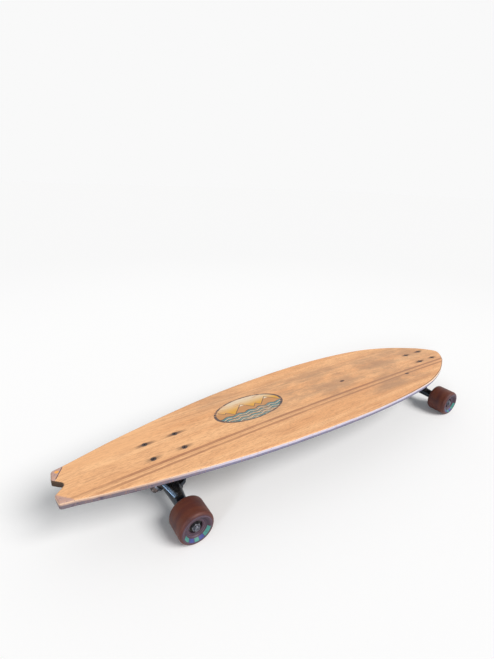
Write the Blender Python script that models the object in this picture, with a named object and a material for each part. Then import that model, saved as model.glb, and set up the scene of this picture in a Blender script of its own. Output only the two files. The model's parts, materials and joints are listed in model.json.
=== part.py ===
# Longboard skateboard: a fishtail deck on two reverse-kingpin trucks, with four wheels on bearings.
# Metres, +Z up, +X to the nose, +Y to the rider's left. The origin is on the floor, midway along the deck.

import bpy
import bmesh
from math import acos, atan, cos, pi, radians, sin, tan
from mathutils import Matrix, Vector

MM = 0.001

# Fits
GAP = 0.3 * MM
RUNNING_GAP = 0.5 * MM

# Deck: laminated maple, arched between the trucks, straight past them and slightly concave across
DECK_THICKNESS = 12.6 * MM
DECK_WIDTH = 229.4 * MM
WHEELBASE = 713.5 * MM
NOSE_OVERHANG = 81.3 * MM
TAIL_OVERHANG = 170.3 * MM
WIDEST_AHEAD = 45.0 * MM
ARCH_RADIUS = 13500.0 * MM
CONCAVE_RADIUS = 5800.0 * MM
DECK_EDGE_ROUND = 2.6 * MM
DECK_CELL = 80.0 * MM

# Deck outline: share of the way from the widest place to the end, and share of the half width there
NOSE_CURVE = ((0.267, 0.970), (0.522, 0.868), (0.725, 0.665), (0.878, 0.408), (0.934, 0.278), (0.972, 0.157),
              (0.992, 0.075))
TAIL_CURVE = ((0.166, 0.978), (0.341, 0.918), (0.498, 0.831), (0.638, 0.718), (0.743, 0.619),
              (0.830, 0.527), (0.918, 0.414), (0.962, 0.356))
OUTLINE_STEPS = 2

# Fishtail
TAIL_TIP_HALF_WIDTH = 36.8 * MM
TAIL_TIP_SLANT = 2.4 * MM
TAIL_CORNER_RADIUS = 5.5 * MM
NOTCH_MOUTH_HALF_WIDTH = 17.0 * MM
NOTCH_DEPTH = 18.0 * MM
NOTCH_LIP_RADIUS = 3.5 * MM
NOTCH_ROOT_RADIUS = 7.5 * MM

# Deck bolts and their lock nuts
BOLT_SPACING_LONG = 53.98 * MM
BOLT_SPACING_WIDE = 41.28 * MM
BOLT_RADIUS = 2.4 * MM
BOLT_HEAD_RADIUS = 4.7 * MM
BOLT_HEAD_DEPTH = 2.8 * MM
BOLT_HEAD_SINK = 0.4 * MM
BOLT_THREAD_SHOWING = 2.5 * MM
BOLT_NUT_FLATS = 9.5 * MM
BOLT_NUT_HEIGHT = 5.8 * MM
BOLT_FACETS = 10

# Riser pad
RISER_THICKNESS = 3.2 * MM
RISER_MARGIN = 1.5 * MM

# Baseplate: a bolted plate, and below it a web that seats the bushings and ends in the pivot housing
AXLE_DROP = 68.6 * MM
BOLT_PATTERN_OUTBOARD = 3.0 * MM
PLATE_THICKNESS = 6.5 * MM
PLATE_WIDTH = 58.0 * MM
PLATE_PAST_OUTER_BOLTS = 12.0 * MM
PLATE_PAST_INNER_BOLTS = 24.0 * MM
PLATE_CORNER_RADIUS = 9.0 * MM
WEB_PAST_PLATE_END = 10.0 * MM
WEB_TO_NUTS = 1.2 * MM
TOWER_FOOT_WIDTH = 13.0 * MM
TOWER_WALL = 4.5 * MM
SEAT_BOSS_MARGIN = 1.0 * MM
SEAT_BOSS_DEPTH = 9.0 * MM
HOUSING_WALL = 2.4 * MM
HOUSING_END_WALL = 2.2 * MM
GUSSET_THICKNESS = 4.0 * MM
GUSSET_DROP = 17.0 * MM
GUSSET_MARGIN = 4.0 * MM
CAST_ROUND = 1.6 * MM

# Steering line: it rises outboard, through the pivot and the middle of the bushing ring
STEER_ANGLE = radians(50.0)
RAKE = 3.0 * MM
RING_REACH = 21.0 * MM
PIVOT_REACH = 15.0 * MM

# Hanger: an axle bar that swells towards the middle, with a web, a bushing ring and a pivot stub
HANGER_WIDTH = 151.2 * MM
BOSS_RADIUS = 9.5 * MM
BOSS_LENGTH = 9.0 * MM
COLLAR_RADIUS = 6.4 * MM
COLLAR_LENGTH = 2.5 * MM
BODY_HALF_THICKNESS = 16.0 * MM
BODY_TO_RING = 13.5 * MM
BODY_TO_PIVOT = 10.0 * MM
ARM_STATIONS = (0.0, 0.25, 0.55, 0.85, 1.0)
HANGER_WEB_SPAN = 100.0 * MM
HANGER_WEB_TOP_SPAN = 26.0 * MM
HANGER_WEB_REACH = 31.0 * MM
HANGER_WEB_THICKNESS = 6.8 * MM
HANGER_WEB_CORNER = 5.0 * MM
RING_RADIUS = 17.5 * MM
RING_THICKNESS = 10.0 * MM
RING_HOLE_RADIUS = 8.2 * MM
SPOT_FACE_DEPTH = 0.4 * MM
BUSHING_SEAT_DEPTH = 1.0 * MM
STUB_NECK_RADIUS = 5.0 * MM
STUB_ROOT = 3.0 * MM
STUB_BALL_RADIUS = 5.8 * MM
STUB_PAST_BALL = 4.4 * MM

# Pivot cup
CUP_WALL = 1.6 * MM
CUP_MOUTH_GAP = 1.2 * MM

# Bushings and their cup washers
BUSHING_RADIUS = 12.4 * MM
BUSHING_BORE_GAP = 0.4 * MM
BOARD_BUSHING_HEIGHT = 14.2 * MM
ROAD_BUSHING_HEIGHT = 9.5 * MM
ROAD_BUSHING_TIP_RADIUS = 9.6 * MM
WASHER_THICKNESS = 1.6 * MM
WASHER_LIP_THICKNESS = 1.0 * MM
WASHER_LIP_HEIGHT = 2.0 * MM

# Kingpin and its lock nut
KINGPIN_RADIUS = 4.76 * MM
KINGPIN_HEAD_FLATS = 14.3 * MM
KINGPIN_HEAD_HEIGHT = 6.0 * MM
KINGPIN_GRIP = 19.0 * MM
KINGPIN_END_SHOWING = 1.2 * MM
KINGPIN_NUT_FLATS = 14.3 * MM
KINGPIN_NUT_HEIGHT = 8.0 * MM
HEAD_POCKET_CLEARANCE = 0.9 * MM

# Axle and its lock nuts
AXLE_RADIUS = 4.0 * MM
AXLE_END_SHOWING = 1.6 * MM
AXLE_CHAMFER = 0.8 * MM
AXLE_NUT_FLATS = 13.0 * MM
AXLE_NUT_HEIGHT = 6.2 * MM
NUT_COLLAR_HEIGHT = 2.2 * MM
NUT_COLLAR_INSET = 0.8 * MM
NUT_COLLAR_TAPER = 0.3 * MM
SPEED_WASHER_RADIUS = 5.6 * MM
SPEED_WASHER_THICKNESS = 0.9 * MM

# Bearings
BEARING_RADIUS = 11.0 * MM
BEARING_WIDTH = 7.0 * MM
BEARING_RACE_WALL = 1.6 * MM
SHIELD_RECESS = 0.5 * MM
BEARING_SPACING = 10.2 * MM

# Wheels
WHEEL_RADIUS = 30.5 * MM
WHEEL_WIDTH = 45.3 * MM
WHEEL_LIP_RADIUS = 6.0 * MM
WHEEL_LIP_STEPS = 2
WHEEL_LAND = 2.2 * MM
WHEEL_HUB_RADIUS = 15.8 * MM
WHEEL_DISH_DEPTH = 6.4 * MM
WHEEL_SHOULDER = 2.0 * MM
WHEEL_FACETS = 24

# Roundness of the small turned pieces
RING_FACETS = 20
PIN_FACETS = 14

# Heights and places of the deck and trucks. Heights in a truck are above its axle.
board_shift = (TAIL_OVERHANG - NOSE_OVERHANG) / 2
truck_reach = WHEELBASE / 2
truck_slope = atan(truck_reach / ARCH_RADIUS)
axle_height = WHEEL_RADIUS * cos(pi / WHEEL_FACETS)
plate_outer = BOLT_PATTERN_OUTBOARD + BOLT_SPACING_LONG / 2 + PLATE_PAST_OUTER_BOLTS
plate_inner = BOLT_PATTERN_OUTBOARD - BOLT_SPACING_LONG / 2 - PLATE_PAST_INNER_BOLTS
plate_under = AXLE_DROP - PLATE_THICKNESS
riser_under = AXLE_DROP + GAP
riser_top = riser_under + RISER_THICKNESS
riser_reach = BOLT_PATTERN_OUTBOARD - plate_inner + RISER_MARGIN
deck_sag = riser_reach ** 2 / (2 * ARCH_RADIUS)
deck_top = riser_top + GAP + deck_sag + DECK_THICKNESS
axle_x = truck_reach - BOLT_PATTERN_OUTBOARD * cos(truck_slope) - deck_top * sin(truck_slope)
apex_height = (axle_height + deck_top * cos(truck_slope) - BOLT_PATTERN_OUTBOARD * sin(truck_slope)
               + truck_reach ** 2 / (2 * ARCH_RADIUS))

# Places along the axle, from the middle of the truck outwards
hanger_half = HANGER_WIDTH / 2
wheel_y = hanger_half + GAP + BEARING_WIDTH + BEARING_SPACING / 2
bearing_y = (BEARING_SPACING + BEARING_WIDTH) / 2
speed_washer_y = wheel_y + BEARING_SPACING / 2 + BEARING_WIDTH + GAP
axle_nut_y = speed_washer_y + SPEED_WASHER_THICKNESS + GAP
axle_half = axle_nut_y + AXLE_NUT_HEIGHT + AXLE_END_SHOWING

# Levels along the kingpin, from the middle of the ring: to the board on one side, to the road on the other
ring_level = RING_THICKNESS / 2
ring_face = ring_level - SPOT_FACE_DEPTH
ring_seat = ring_level - BUSHING_SEAT_DEPTH
bushing_from = ring_seat + GAP
board_bushing_to = bushing_from + BOARD_BUSHING_HEIGHT
seat_level = board_bushing_to + GAP + WASHER_THICKNESS + GAP
head_level = seat_level + KINGPIN_GRIP + GAP
road_bushing_to = bushing_from + ROAD_BUSHING_HEIGHT
kingpin_nut_level = road_bushing_to + GAP + WASHER_THICKNESS + GAP
kingpin_end = kingpin_nut_level + KINGPIN_NUT_HEIGHT + KINGPIN_END_SHOWING
washer_radius = BUSHING_RADIUS + GAP + WASHER_LIP_THICKNESS
head_radius = KINGPIN_HEAD_FLATS / 2 / cos(pi / 6)

# Levels along the steering line, from the axle towards the pivot
cup_inside = STUB_BALL_RADIUS + GAP
cup_radius = cup_inside + CUP_WALL
cup_mouth = BODY_TO_PIVOT + CUP_MOUTH_GAP
stub_end = PIVOT_REACH + STUB_PAST_BALL
cup_end = stub_end + GAP + CUP_WALL
housing_end = cup_end + GAP + HOUSING_END_WALL
housing_radius = cup_radius + GAP + HOUSING_WALL

for old in list(bpy.data.objects):
    bpy.data.objects.remove(old, do_unlink=True)


# Shared makers

def material(name, colour, roughness, metallic=0.0):
    made = bpy.data.materials.new(name)
    made.use_nodes = True
    shader = made.node_tree.nodes["Principled BSDF"]
    shader.inputs["Base Color"].default_value = (*colour, 1.0)
    shader.inputs["Roughness"].default_value = roughness
    shader.inputs["Metallic"].default_value = metallic
    made.diffuse_color = (*colour, 1.0)
    return made


def finished_mesh(name, bm, finish=None):
    bmesh.ops.remove_doubles(bm, verts=bm.verts, dist=0.001 * MM)
    bmesh.ops.recalc_face_normals(bm, faces=bm.faces)
    mesh = bpy.data.meshes.new(name)
    bm.to_mesh(mesh)
    bm.free()
    mesh.shade_smooth()
    mesh.set_sharp_from_angle(angle=radians(32))
    if finish:
        mesh.materials.append(finish)
    return mesh


def add_object(name, mesh, parent=None, place=Matrix()):
    made = bpy.data.objects.new(name, mesh)
    bpy.context.scene.collection.objects.link(made)
    made.parent = parent
    made.matrix_local = place
    return made


def add_piece(name, bm, finish, parent, place=Matrix()):
    return add_object(name, finished_mesh(name, bm, finish), parent, place)


def combine(target, operation, name, bm, parent, place=Matrix()):
    """Joins a hidden tool to the target, or cuts it away."""
    tool = add_object(name, finished_mesh(name, bm), parent, place)
    tool.hide_render = True
    tool.display_type = "WIRE"
    step = target.modifiers.new(name, "BOOLEAN")
    step.operation = operation
    step.solver = "EXACT"
    step.object = tool


def turned(profile, facets, closed=False):
    """A solid turned about Z from points (radius, height); a closed profile makes a ring."""
    bm = bmesh.new()
    points = [bm.verts.new((radius, 0, height)) for radius, height in profile]
    edges = [bm.edges.new(pair) for pair in zip(points, points[1:])]
    if closed:
        edges.append(bm.edges.new((points[-1], points[0])))
    bmesh.ops.spin(bm, geom=points + edges, axis=(0, 0, 1), cent=(0, 0, 0), angle=2 * pi,
                   steps=facets, use_merge=True)
    return bm


def rod(radius, low, high, facets):
    return turned(((0, low), (radius, low), (radius, high), (0, high)), facets)


def ring(inner, outer, low, high, facets):
    return turned(((inner, low), (outer, low), (outer, high), (inner, high)), facets, closed=True)


def skinned(loops, closed=False):
    """A solid with quads between neighbouring loops of points; an open one is capped at its ends."""
    bm = bmesh.new()
    rows = [[bm.verts.new(point) for point in loop] for loop in loops]
    pairs = list(zip(rows, rows[1:]))
    if closed:
        pairs.append((rows[-1], rows[0]))
    else:
        bm.faces.new(rows[0])
        bm.faces.new(rows[-1])
    for first, second in pairs:
        for i in range(len(first)):
            bm.faces.new((first[i - 1], first[i], second[i], second[i - 1]))
    return bm


def extruded(outline, travel):
    """A prism: a closed outline of 3-D points swept along travel."""
    bm = bmesh.new()
    face = bm.faces.new([bm.verts.new(point) for point in outline])
    swept = bmesh.ops.extrude_face_region(bm, geom=[face])
    moved = [item for item in swept["geom"] if isinstance(item, bmesh.types.BMVert)]
    bmesh.ops.translate(bm, verts=moved, vec=travel)
    return bm


def round_rims(bm, radius, segments, axis=(0, 0, 1)):
    """Rounds the rims of the end faces that stand square to the axis."""
    bm.normal_update()
    ends = [face for face in bm.faces if abs(face.normal.dot(Vector(axis))) > 0.999]
    rims = list({edge for face in ends for edge in face.edges})
    bmesh.ops.bevel(bm, geom=rims, offset=radius, offset_type="OFFSET", segments=segments,
                    profile=0.5, affect="EDGES", material=-1, clamp_overlap=True)
    return bm


def filleted(corners, steps=3):
    """A closed 2-D outline whose corners (x, y, radius) are rounded by arcs."""
    outline = []
    for index, (x, y, radius) in enumerate(corners):
        corner = Vector((x, y))
        back = (Vector(corners[index - 1][:2]) - corner).normalized()
        ahead = (Vector(corners[(index + 1) % len(corners)][:2]) - corner).normalized()
        half = acos(max(-1.0, min(1.0, back.dot(ahead)))) / 2
        if not radius:
            outline.append(corner)
            continue
        run = radius / tan(half)
        centre = corner + (back + ahead).normalized() * radius / sin(half)
        first = corner + back * run - centre
        last = corner + ahead * run - centre
        sweep = pi - 2 * half
        for step in range(steps + 1):
            share = step / steps
            spoke = (first * sin((1 - share) * sweep) + last * sin(share * sweep)) / sin(sweep)
            outline.append(centre + spoke)
    return outline


def smooth_through(points, steps):
    """A Catmull-Rom curve through 2-D points; the first and last only guide its ends."""
    curve = []
    for a, b, c, d in zip(points, points[1:], points[2:], points[3:]):
        for step in range(steps):
            t = step / steps
            curve.append(0.5 * (2 * b + (c - a) * t + (2 * a - 5 * b + 4 * c - d) * t ** 2
                                + (3 * b - a - 3 * c + d) * t ** 3))
    curve.append(points[-2])
    return curve


def hex_nut(flats, bore, height, collar_height):
    """A hexagon nut on 12 spokes, with a round collar where it holds a locking insert."""
    spokes = [(cos(pi * spoke / 6), sin(pi * spoke / 6)) for spoke in range(12)]
    corner = 1 / cos(pi / 6)

    def circle(radius, level):
        return [(radius * x, radius * y, level) for x, y in spokes]

    def hexagon(level):
        reach = [flats / 2 * (corner if spoke % 2 == 0 else 1) for spoke in range(12)]
        return [(far * x, far * y, level) for far, (x, y) in zip(reach, spokes)]

    loops = [circle(bore, 0), hexagon(0), hexagon(height - collar_height)]
    if collar_height:
        collar = flats / 2 - NUT_COLLAR_INSET
        loops += [circle(collar, height - collar_height), circle(collar - NUT_COLLAR_TAPER, height)]
    loops.append(circle(bore, height))
    return skinned(loops, closed=True)


# Materials

maple = material("maple", (0.80, 0.50, 0.27), 0.45)
riser_rubber = material("riser_rubber", (0.02, 0.02, 0.022), 0.75)
cast_black = material("cast_black", (0.02, 0.021, 0.025), 0.28, 0.6)
bright_steel = material("bright_steel", (0.55, 0.57, 0.60), 0.3, 1.0)
black_steel = material("black_steel", (0.03, 0.03, 0.032), 0.4, 0.8)
bushing_urethane = material("bushing_urethane", (0.03, 0.03, 0.03), 0.5)
cup_nylon = material("cup_nylon", (0.05, 0.05, 0.05), 0.6)
wheel_urethane = material("wheel_urethane", (0.13, 0.045, 0.035), 0.42)
bearing_steel = material("bearing_steel", (0.32, 0.33, 0.35), 0.35, 0.9)


# Deck

def deck_outline():
    half = DECK_WIDTH / 2
    nose_run = truck_reach + NOSE_OVERHANG - WIDEST_AHEAD
    tail_run = truck_reach + TAIL_OVERHANG + WIDEST_AHEAD
    nose = [Vector((WIDEST_AHEAD + along * nose_run, wide * half)) for along, wide in NOSE_CURVE]
    tail = [Vector((WIDEST_AHEAD - along * tail_run, wide * half)) for along, wide in TAIL_CURVE]
    left = tail[::-1] + [Vector((WIDEST_AHEAD, half))] + nose
    right = [Vector((point.x, -point.y)) for point in left[::-1]]
    tip = Vector((truck_reach + NOSE_OVERHANG, 0))
    tail_x = -truck_reach - TAIL_OVERHANG
    left_corner = Vector((tail_x + TAIL_TIP_SLANT, TAIL_TIP_HALF_WIDTH))
    right_corner = Vector((left_corner.x, -left_corner.y))
    sides = smooth_through([left_corner] + left + [tip] + right + [right_corner], OUTLINE_STEPS)
    fishtail = filleted([
        (*sides[-1], 0),
        (*right_corner, TAIL_CORNER_RADIUS),
        (tail_x, -NOTCH_MOUTH_HALF_WIDTH, NOTCH_LIP_RADIUS),
        (tail_x + NOTCH_DEPTH, 0, NOTCH_ROOT_RADIUS),
        (tail_x, NOTCH_MOUTH_HALF_WIDTH, NOTCH_LIP_RADIUS),
        (*left_corner, TAIL_CORNER_RADIUS),
        (*sides[0], 0),
    ])
    return sides + fishtail[1:-1]


def deck_solid():
    """The flat blank, cut into cells so that it can follow the arch and the concave."""
    outline = [(point.x, point.y, -DECK_THICKNESS) for point in deck_outline()]
    bm = round_rims(extruded(outline, (0, 0, DECK_THICKNESS)), DECK_EDGE_ROUND, 2)
    reach = truck_reach + max(NOSE_OVERHANG, TAIL_OVERHANG)
    for axis, span in ((Vector((1, 0, 0)), reach), (Vector((0, 1, 0)), DECK_WIDTH / 2)):
        cuts = int(span / DECK_CELL) + 1
        for cut in range(-cuts, cuts):
            bmesh.ops.bisect_plane(bm, geom=bm.verts[:] + bm.edges[:] + bm.faces[:], dist=0.01 * MM,
                                   plane_co=axis * (cut + 0.5) * DECK_CELL, plane_no=axis)
    for vert in bm.verts:
        x, y, _ = vert.co
        arched = min(abs(x), truck_reach)
        drop = arched ** 2 / (2 * ARCH_RADIUS) + (abs(x) - arched) * truck_reach / ARCH_RADIUS
        vert.co.z += apex_height - drop + y ** 2 / (2 * CONCAVE_RADIUS)
    bmesh.ops.triangulate(bm, faces=bm.faces)
    return bm


board = add_object("board_frame", None, place=Matrix.Translation((board_shift, 0, 0)))
deck = add_piece("deck", deck_solid(), maple, board)


# Pieces that repeat share their mesh

def bolt_profile(clearance=0.0):
    top = deck_top - BOLT_HEAD_SINK
    shank = BOLT_RADIUS + clearance
    head = BOLT_HEAD_RADIUS + clearance
    end = plate_under - GAP - BOLT_NUT_HEIGHT - BOLT_THREAD_SHOWING
    return [(head, top), (head, top - GAP), (shank, top - BOLT_HEAD_DEPTH), (shank, end), (0, end)]


def wheel_profile():
    half = WHEEL_WIDTH / 2
    lip = WHEEL_LIP_RADIUS
    bore = BEARING_RADIUS + GAP
    hub = half - WHEEL_DISH_DEPTH
    shoulder = BEARING_SPACING / 2 - GAP
    side = [(bore - WHEEL_SHOULDER, shoulder), (bore, shoulder), (bore, hub), (WHEEL_HUB_RADIUS, hub),
            (WHEEL_RADIUS - lip - WHEEL_LAND, half)]
    for step in range(WHEEL_LIP_STEPS + 1):
        angle = pi / 2 * step / WHEEL_LIP_STEPS
        side.append((WHEEL_RADIUS - lip + lip * sin(angle), half - lip + lip * cos(angle)))
    return side + [(radius, -level) for radius, level in side[::-1]]


def bearing_profile():
    half = BEARING_WIDTH / 2
    shield = half - SHIELD_RECESS
    bore = AXLE_RADIUS + GAP
    inner_race = bore + BEARING_RACE_WALL
    outer_race = BEARING_RADIUS - BEARING_RACE_WALL
    return [(bore, -half), (BEARING_RADIUS, -half), (BEARING_RADIUS, half), (outer_race, half),
            (outer_race, shield), (inner_race, shield), (inner_race, half), (bore, half)]


def wheel_solid():
    """The wheel, turned by half a facet so that it stands on a flat."""
    bm = turned(wheel_profile(), WHEEL_FACETS, closed=True)
    bmesh.ops.rotate(bm, verts=bm.verts, matrix=Matrix.Rotation(pi / WHEEL_FACETS, 3, "Z"))
    return bm


axle_bore = AXLE_RADIUS + GAP
bolt_mesh = finished_mesh("deck_bolt", turned([(0, deck_top - BOLT_HEAD_SINK)] + bolt_profile(), BOLT_FACETS),
                          black_steel)
bolt_nut_mesh = finished_mesh("deck_nut", hex_nut(BOLT_NUT_FLATS, BOLT_RADIUS + GAP, BOLT_NUT_HEIGHT, 0),
                              bright_steel)
wheel_mesh = finished_mesh("wheel", wheel_solid(), wheel_urethane)
bearing_mesh = finished_mesh("bearing", turned(bearing_profile(), PIN_FACETS, closed=True), bearing_steel)
speed_washer_mesh = finished_mesh(
    "speed_washer", ring(axle_bore, SPEED_WASHER_RADIUS, 0, SPEED_WASHER_THICKNESS, PIN_FACETS),
    bright_steel)
axle_nut_mesh = finished_mesh(
    "axle_nut", hex_nut(AXLE_NUT_FLATS, axle_bore, AXLE_NUT_HEIGHT, NUT_COLLAR_HEIGHT), bright_steel)
kingpin_nut_mesh = finished_mesh(
    "kingpin_nut",
    hex_nut(KINGPIN_NUT_FLATS, KINGPIN_RADIUS + GAP, KINGPIN_NUT_HEIGHT, NUT_COLLAR_HEIGHT), black_steel)


# Frames. A truck's frame has the middle of the axle at its origin, +X outboard and +Z square to the plate.
# The steering frame in it has +X along the steering line to the pivot, and +Z along the kingpin to the road.
# The kingpin frame is the same, but with its origin in the middle of the bushing ring.

steer_turn = pi - STEER_ANGLE
steer_place = Matrix.Rotation(steer_turn, 4, "Y") @ Matrix.Translation((0, 0, -RAKE))
kingpin_place = steer_place @ Matrix.Translation((-RING_REACH, 0, 0))
pivot_place = steer_place @ Matrix.Rotation(pi / 2, 4, "Y")
axle_place = Matrix.Translation((0, 0, RAKE))
across = Matrix.Rotation(-pi / 2, 4, "X")
flip = Matrix.Rotation(pi, 4, "X")


def beside_steering_line(along, above):
    """A point of the truck's XZ plane, from its place along the steering line and its height above it."""
    point = steer_place @ Vector((along, 0, -above))
    return point.x, point.z


def bolt_places():
    for x in (-1, 1):
        for y in (-1, 1):
            yield (BOLT_PATTERN_OUTBOARD + x * BOLT_SPACING_LONG / 2, y * BOLT_SPACING_WIDE / 2)


def plate_solid(margin, level, thickness):
    half = PLATE_WIDTH / 2 + margin
    low = plate_inner - margin
    high = plate_outer + margin
    radius = PLATE_CORNER_RADIUS + margin
    corners = ((low, -half, radius), (high, -half, radius), (high, half, radius), (low, half, radius))
    outline = [(point.x, point.y, level) for point in filleted(corners)]
    return extruded(outline, (0, 0, thickness))


def drill_bolt_holes(target, name, truck):
    for number, (x, y) in enumerate(bolt_places(), 1):
        drill = rod(BOLT_RADIUS + GAP, plate_under - PLATE_THICKNESS, deck_top, BOLT_FACETS)
        combine(target, "DIFFERENCE", f"{name}_drill_{number}", drill, truck,
                Matrix.Translation((x, y, 0)))


# Riser pad

def make_riser(name, truck):
    riser = add_piece(f"{name}_riser", plate_solid(RISER_MARGIN, riser_under, RISER_THICKNESS),
                      riser_rubber, truck)
    drill_bolt_holes(riser, f"{name}_riser", truck)


# Baseplate

def web_solid():
    """Side view of the web, swept across and drawn in towards its foot as a casting is."""
    seat_outer = -RING_REACH - washer_radius - SEAT_BOSS_MARGIN
    plate_middle = AXLE_DROP - PLATE_THICKNESS / 2
    foot_along = housing_end - CAST_ROUND
    seat_x, seat_z = beside_steering_line(seat_outer, seat_level)
    corners = [
        (plate_inner + WEB_PAST_PLATE_END, plate_middle, 0),
        (*beside_steering_line(foot_along, seat_level + TOWER_WALL - housing_radius), 3 * CAST_ROUND),
        (*beside_steering_line(foot_along, 0), 0),
        (*beside_steering_line(cup_mouth + CAST_ROUND, 0), 0),
        (*beside_steering_line(cup_mouth + CAST_ROUND, seat_level), 3 * CAST_ROUND),
        (seat_x, seat_z, CAST_ROUND),
        (seat_x, plate_middle, 0),
    ]
    foot = min(z for x, z, radius in corners)
    top_width = BOLT_SPACING_WIDE - 2 * (BOLT_NUT_FLATS / 2 / cos(pi / 6) + WEB_TO_NUTS)
    outline = [(point.x, -top_width / 2, point.y) for point in filleted(corners)]
    bm = extruded(outline, (0, top_width, 0))
    for vert in bm.verts:
        share = (vert.co.z - foot) / (plate_middle - foot)
        vert.co.y *= (TOWER_FOOT_WIDTH + (top_width - TOWER_FOOT_WIDTH) * share) / top_width
    return bm


def gusset_solid():
    """A rib across the web that holds up the plate's two sides."""
    wide = PLATE_WIDTH / 2 - GUSSET_MARGIN
    narrow = TOWER_FOOT_WIDTH / 2
    top = AXLE_DROP - PLATE_THICKNESS / 2
    low = plate_under - GUSSET_DROP
    x = BOLT_PATTERN_OUTBOARD - GUSSET_THICKNESS / 2
    outline = [(x, -wide, top), (x, -wide, plate_under), (x, -narrow, low), (x, narrow, low),
               (x, wide, plate_under), (x, wide, top)]
    return extruded(outline, (GUSSET_THICKNESS, 0, 0))


def head_pocket_solid():
    """The space over the kingpin's head, drawn straight up through the plate as a casting core is."""
    half = head_radius + HEAD_POCKET_CLEARANCE
    floor = head_level - GAP
    back = head_level + KINGPIN_HEAD_HEIGHT + HEAD_POCKET_CLEARANCE
    outer = beside_steering_line(-RING_REACH - half, floor)
    inner = beside_steering_line(-RING_REACH + half, floor)
    behind = beside_steering_line(-RING_REACH + half, back)
    above = AXLE_DROP + PLATE_THICKNESS
    corners = [outer, inner, behind, (behind[0], above), (outer[0], above)]
    return extruded([(x, -half, z) for x, z in corners], (0, 2 * half, 0))


def make_baseplate(name, truck):
    base = add_piece(f"{name}_baseplate", plate_solid(0, plate_under, PLATE_THICKNESS), cast_black, truck)
    combine(base, "UNION", f"{name}_base_web", web_solid(), truck)
    combine(base, "UNION", f"{name}_base_gusset", gusset_solid(), truck)
    seat_boss = rod(washer_radius + SEAT_BOSS_MARGIN, -seat_level, -seat_level - SEAT_BOSS_DEPTH, RING_FACETS)
    combine(base, "UNION", f"{name}_seat_boss", seat_boss, truck, kingpin_place)
    housing = round_rims(rod(housing_radius, cup_mouth, housing_end, RING_FACETS), CAST_ROUND, 1)
    combine(base, "UNION", f"{name}_pivot_housing", housing, truck, pivot_place)

    cup_bore = rod(cup_radius + GAP, cup_mouth - GAP, cup_end + GAP, RING_FACETS)
    combine(base, "DIFFERENCE", f"{name}_cup_bore", cup_bore, truck, pivot_place)
    pin_bore = rod(KINGPIN_RADIUS + GAP, -seat_level + GAP, -head_level - KINGPIN_HEAD_HEIGHT / 2, PIN_FACETS)
    combine(base, "DIFFERENCE", f"{name}_kingpin_bore", pin_bore, truck, kingpin_place)
    combine(base, "DIFFERENCE", f"{name}_head_pocket", head_pocket_solid(), truck)
    drill_bolt_holes(base, f"{name}_baseplate", truck)


def make_pivot_cup(name, truck):
    """A nylon cup that lines the pivot housing."""
    profile = [(cup_inside, cup_mouth), (cup_radius, cup_mouth), (cup_radius, cup_end), (0, cup_end),
               (0, cup_end - CUP_WALL), (cup_inside, cup_end - CUP_WALL), (cup_inside, cup_mouth)]
    add_piece(f"{name}_pivot_cup", turned(profile, RING_FACETS), cup_nylon, truck, pivot_place)


# Hanger, in the steering frame

def arm_section(y):
    """One cross-section of the axle bar: round at its ends, deeper and thicker at the middle."""
    reach = hanger_half - COLLAR_LENGTH - BOSS_LENGTH
    swell = max(0.0, 1 - abs(y) / reach)
    middle = RAKE * (1 - swell)
    thick = BOSS_RADIUS + (BODY_HALF_THICKNESS - BOSS_RADIUS) * swell
    to_pivot = BOSS_RADIUS + (BODY_TO_PIVOT - BOSS_RADIUS) * swell
    to_ring = BOSS_RADIUS + (BODY_TO_RING - BOSS_RADIUS) * swell
    section = []
    for spoke in range(PIN_FACETS):
        angle = 2 * pi * spoke / PIN_FACETS
        depth = to_pivot if cos(angle) > 0 else to_ring
        section.append((depth * cos(angle), y, middle + thick * sin(angle)))
    return section


def bar_solid():
    end = hanger_half - COLLAR_LENGTH
    right = [share * (end - BOSS_LENGTH) for share in ARM_STATIONS] + [end]
    stations = [-y for y in right[:0:-1]] + right
    bm = skinned([arm_section(y) for y in stations])
    bmesh.ops.triangulate(bm, faces=bm.faces)
    return bm


def hanger_web_solid():
    corners = ((0, -HANGER_WEB_SPAN / 2, 0), (0, HANGER_WEB_SPAN / 2, 0),
               (-HANGER_WEB_REACH, HANGER_WEB_TOP_SPAN / 2, HANGER_WEB_CORNER),
               (-HANGER_WEB_REACH, -HANGER_WEB_TOP_SPAN / 2, HANGER_WEB_CORNER))
    outline = [(point.x, point.y, -HANGER_WEB_THICKNESS / 2) for point in filleted(corners)]
    return extruded(outline, (0, 0, HANGER_WEB_THICKNESS))


def stub_solid():
    """The pivot stub: a neck that ends in a ball with its tip cut flat."""
    high = acos(-STUB_PAST_BALL / STUB_BALL_RADIUS)
    ball = [(STUB_BALL_RADIUS * sin(angle), PIVOT_REACH - STUB_BALL_RADIUS * cos(angle))
            for angle in (pi / 3, pi / 2, (pi / 2 + high) / 2, high)]
    root = [(0, -STUB_ROOT), (STUB_NECK_RADIUS, -STUB_ROOT)]
    return turned(root + ball + [(0, stub_end)], PIN_FACETS)


def bushing_seat_solid(side):
    """What is cut away on one side of the ring: a seat for the bushing, and a spot face round its washer."""
    seat = BUSHING_RADIUS + GAP
    face = washer_radius + RUNNING_GAP
    steps = ((0, ring_seat), (seat, ring_seat), (seat, ring_face), (face, ring_face),
             (face, 2 * BODY_HALF_THICKNESS), (0, 2 * BODY_HALF_THICKNESS))
    return turned([(radius, side * level) for radius, level in steps], RING_FACETS)


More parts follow.
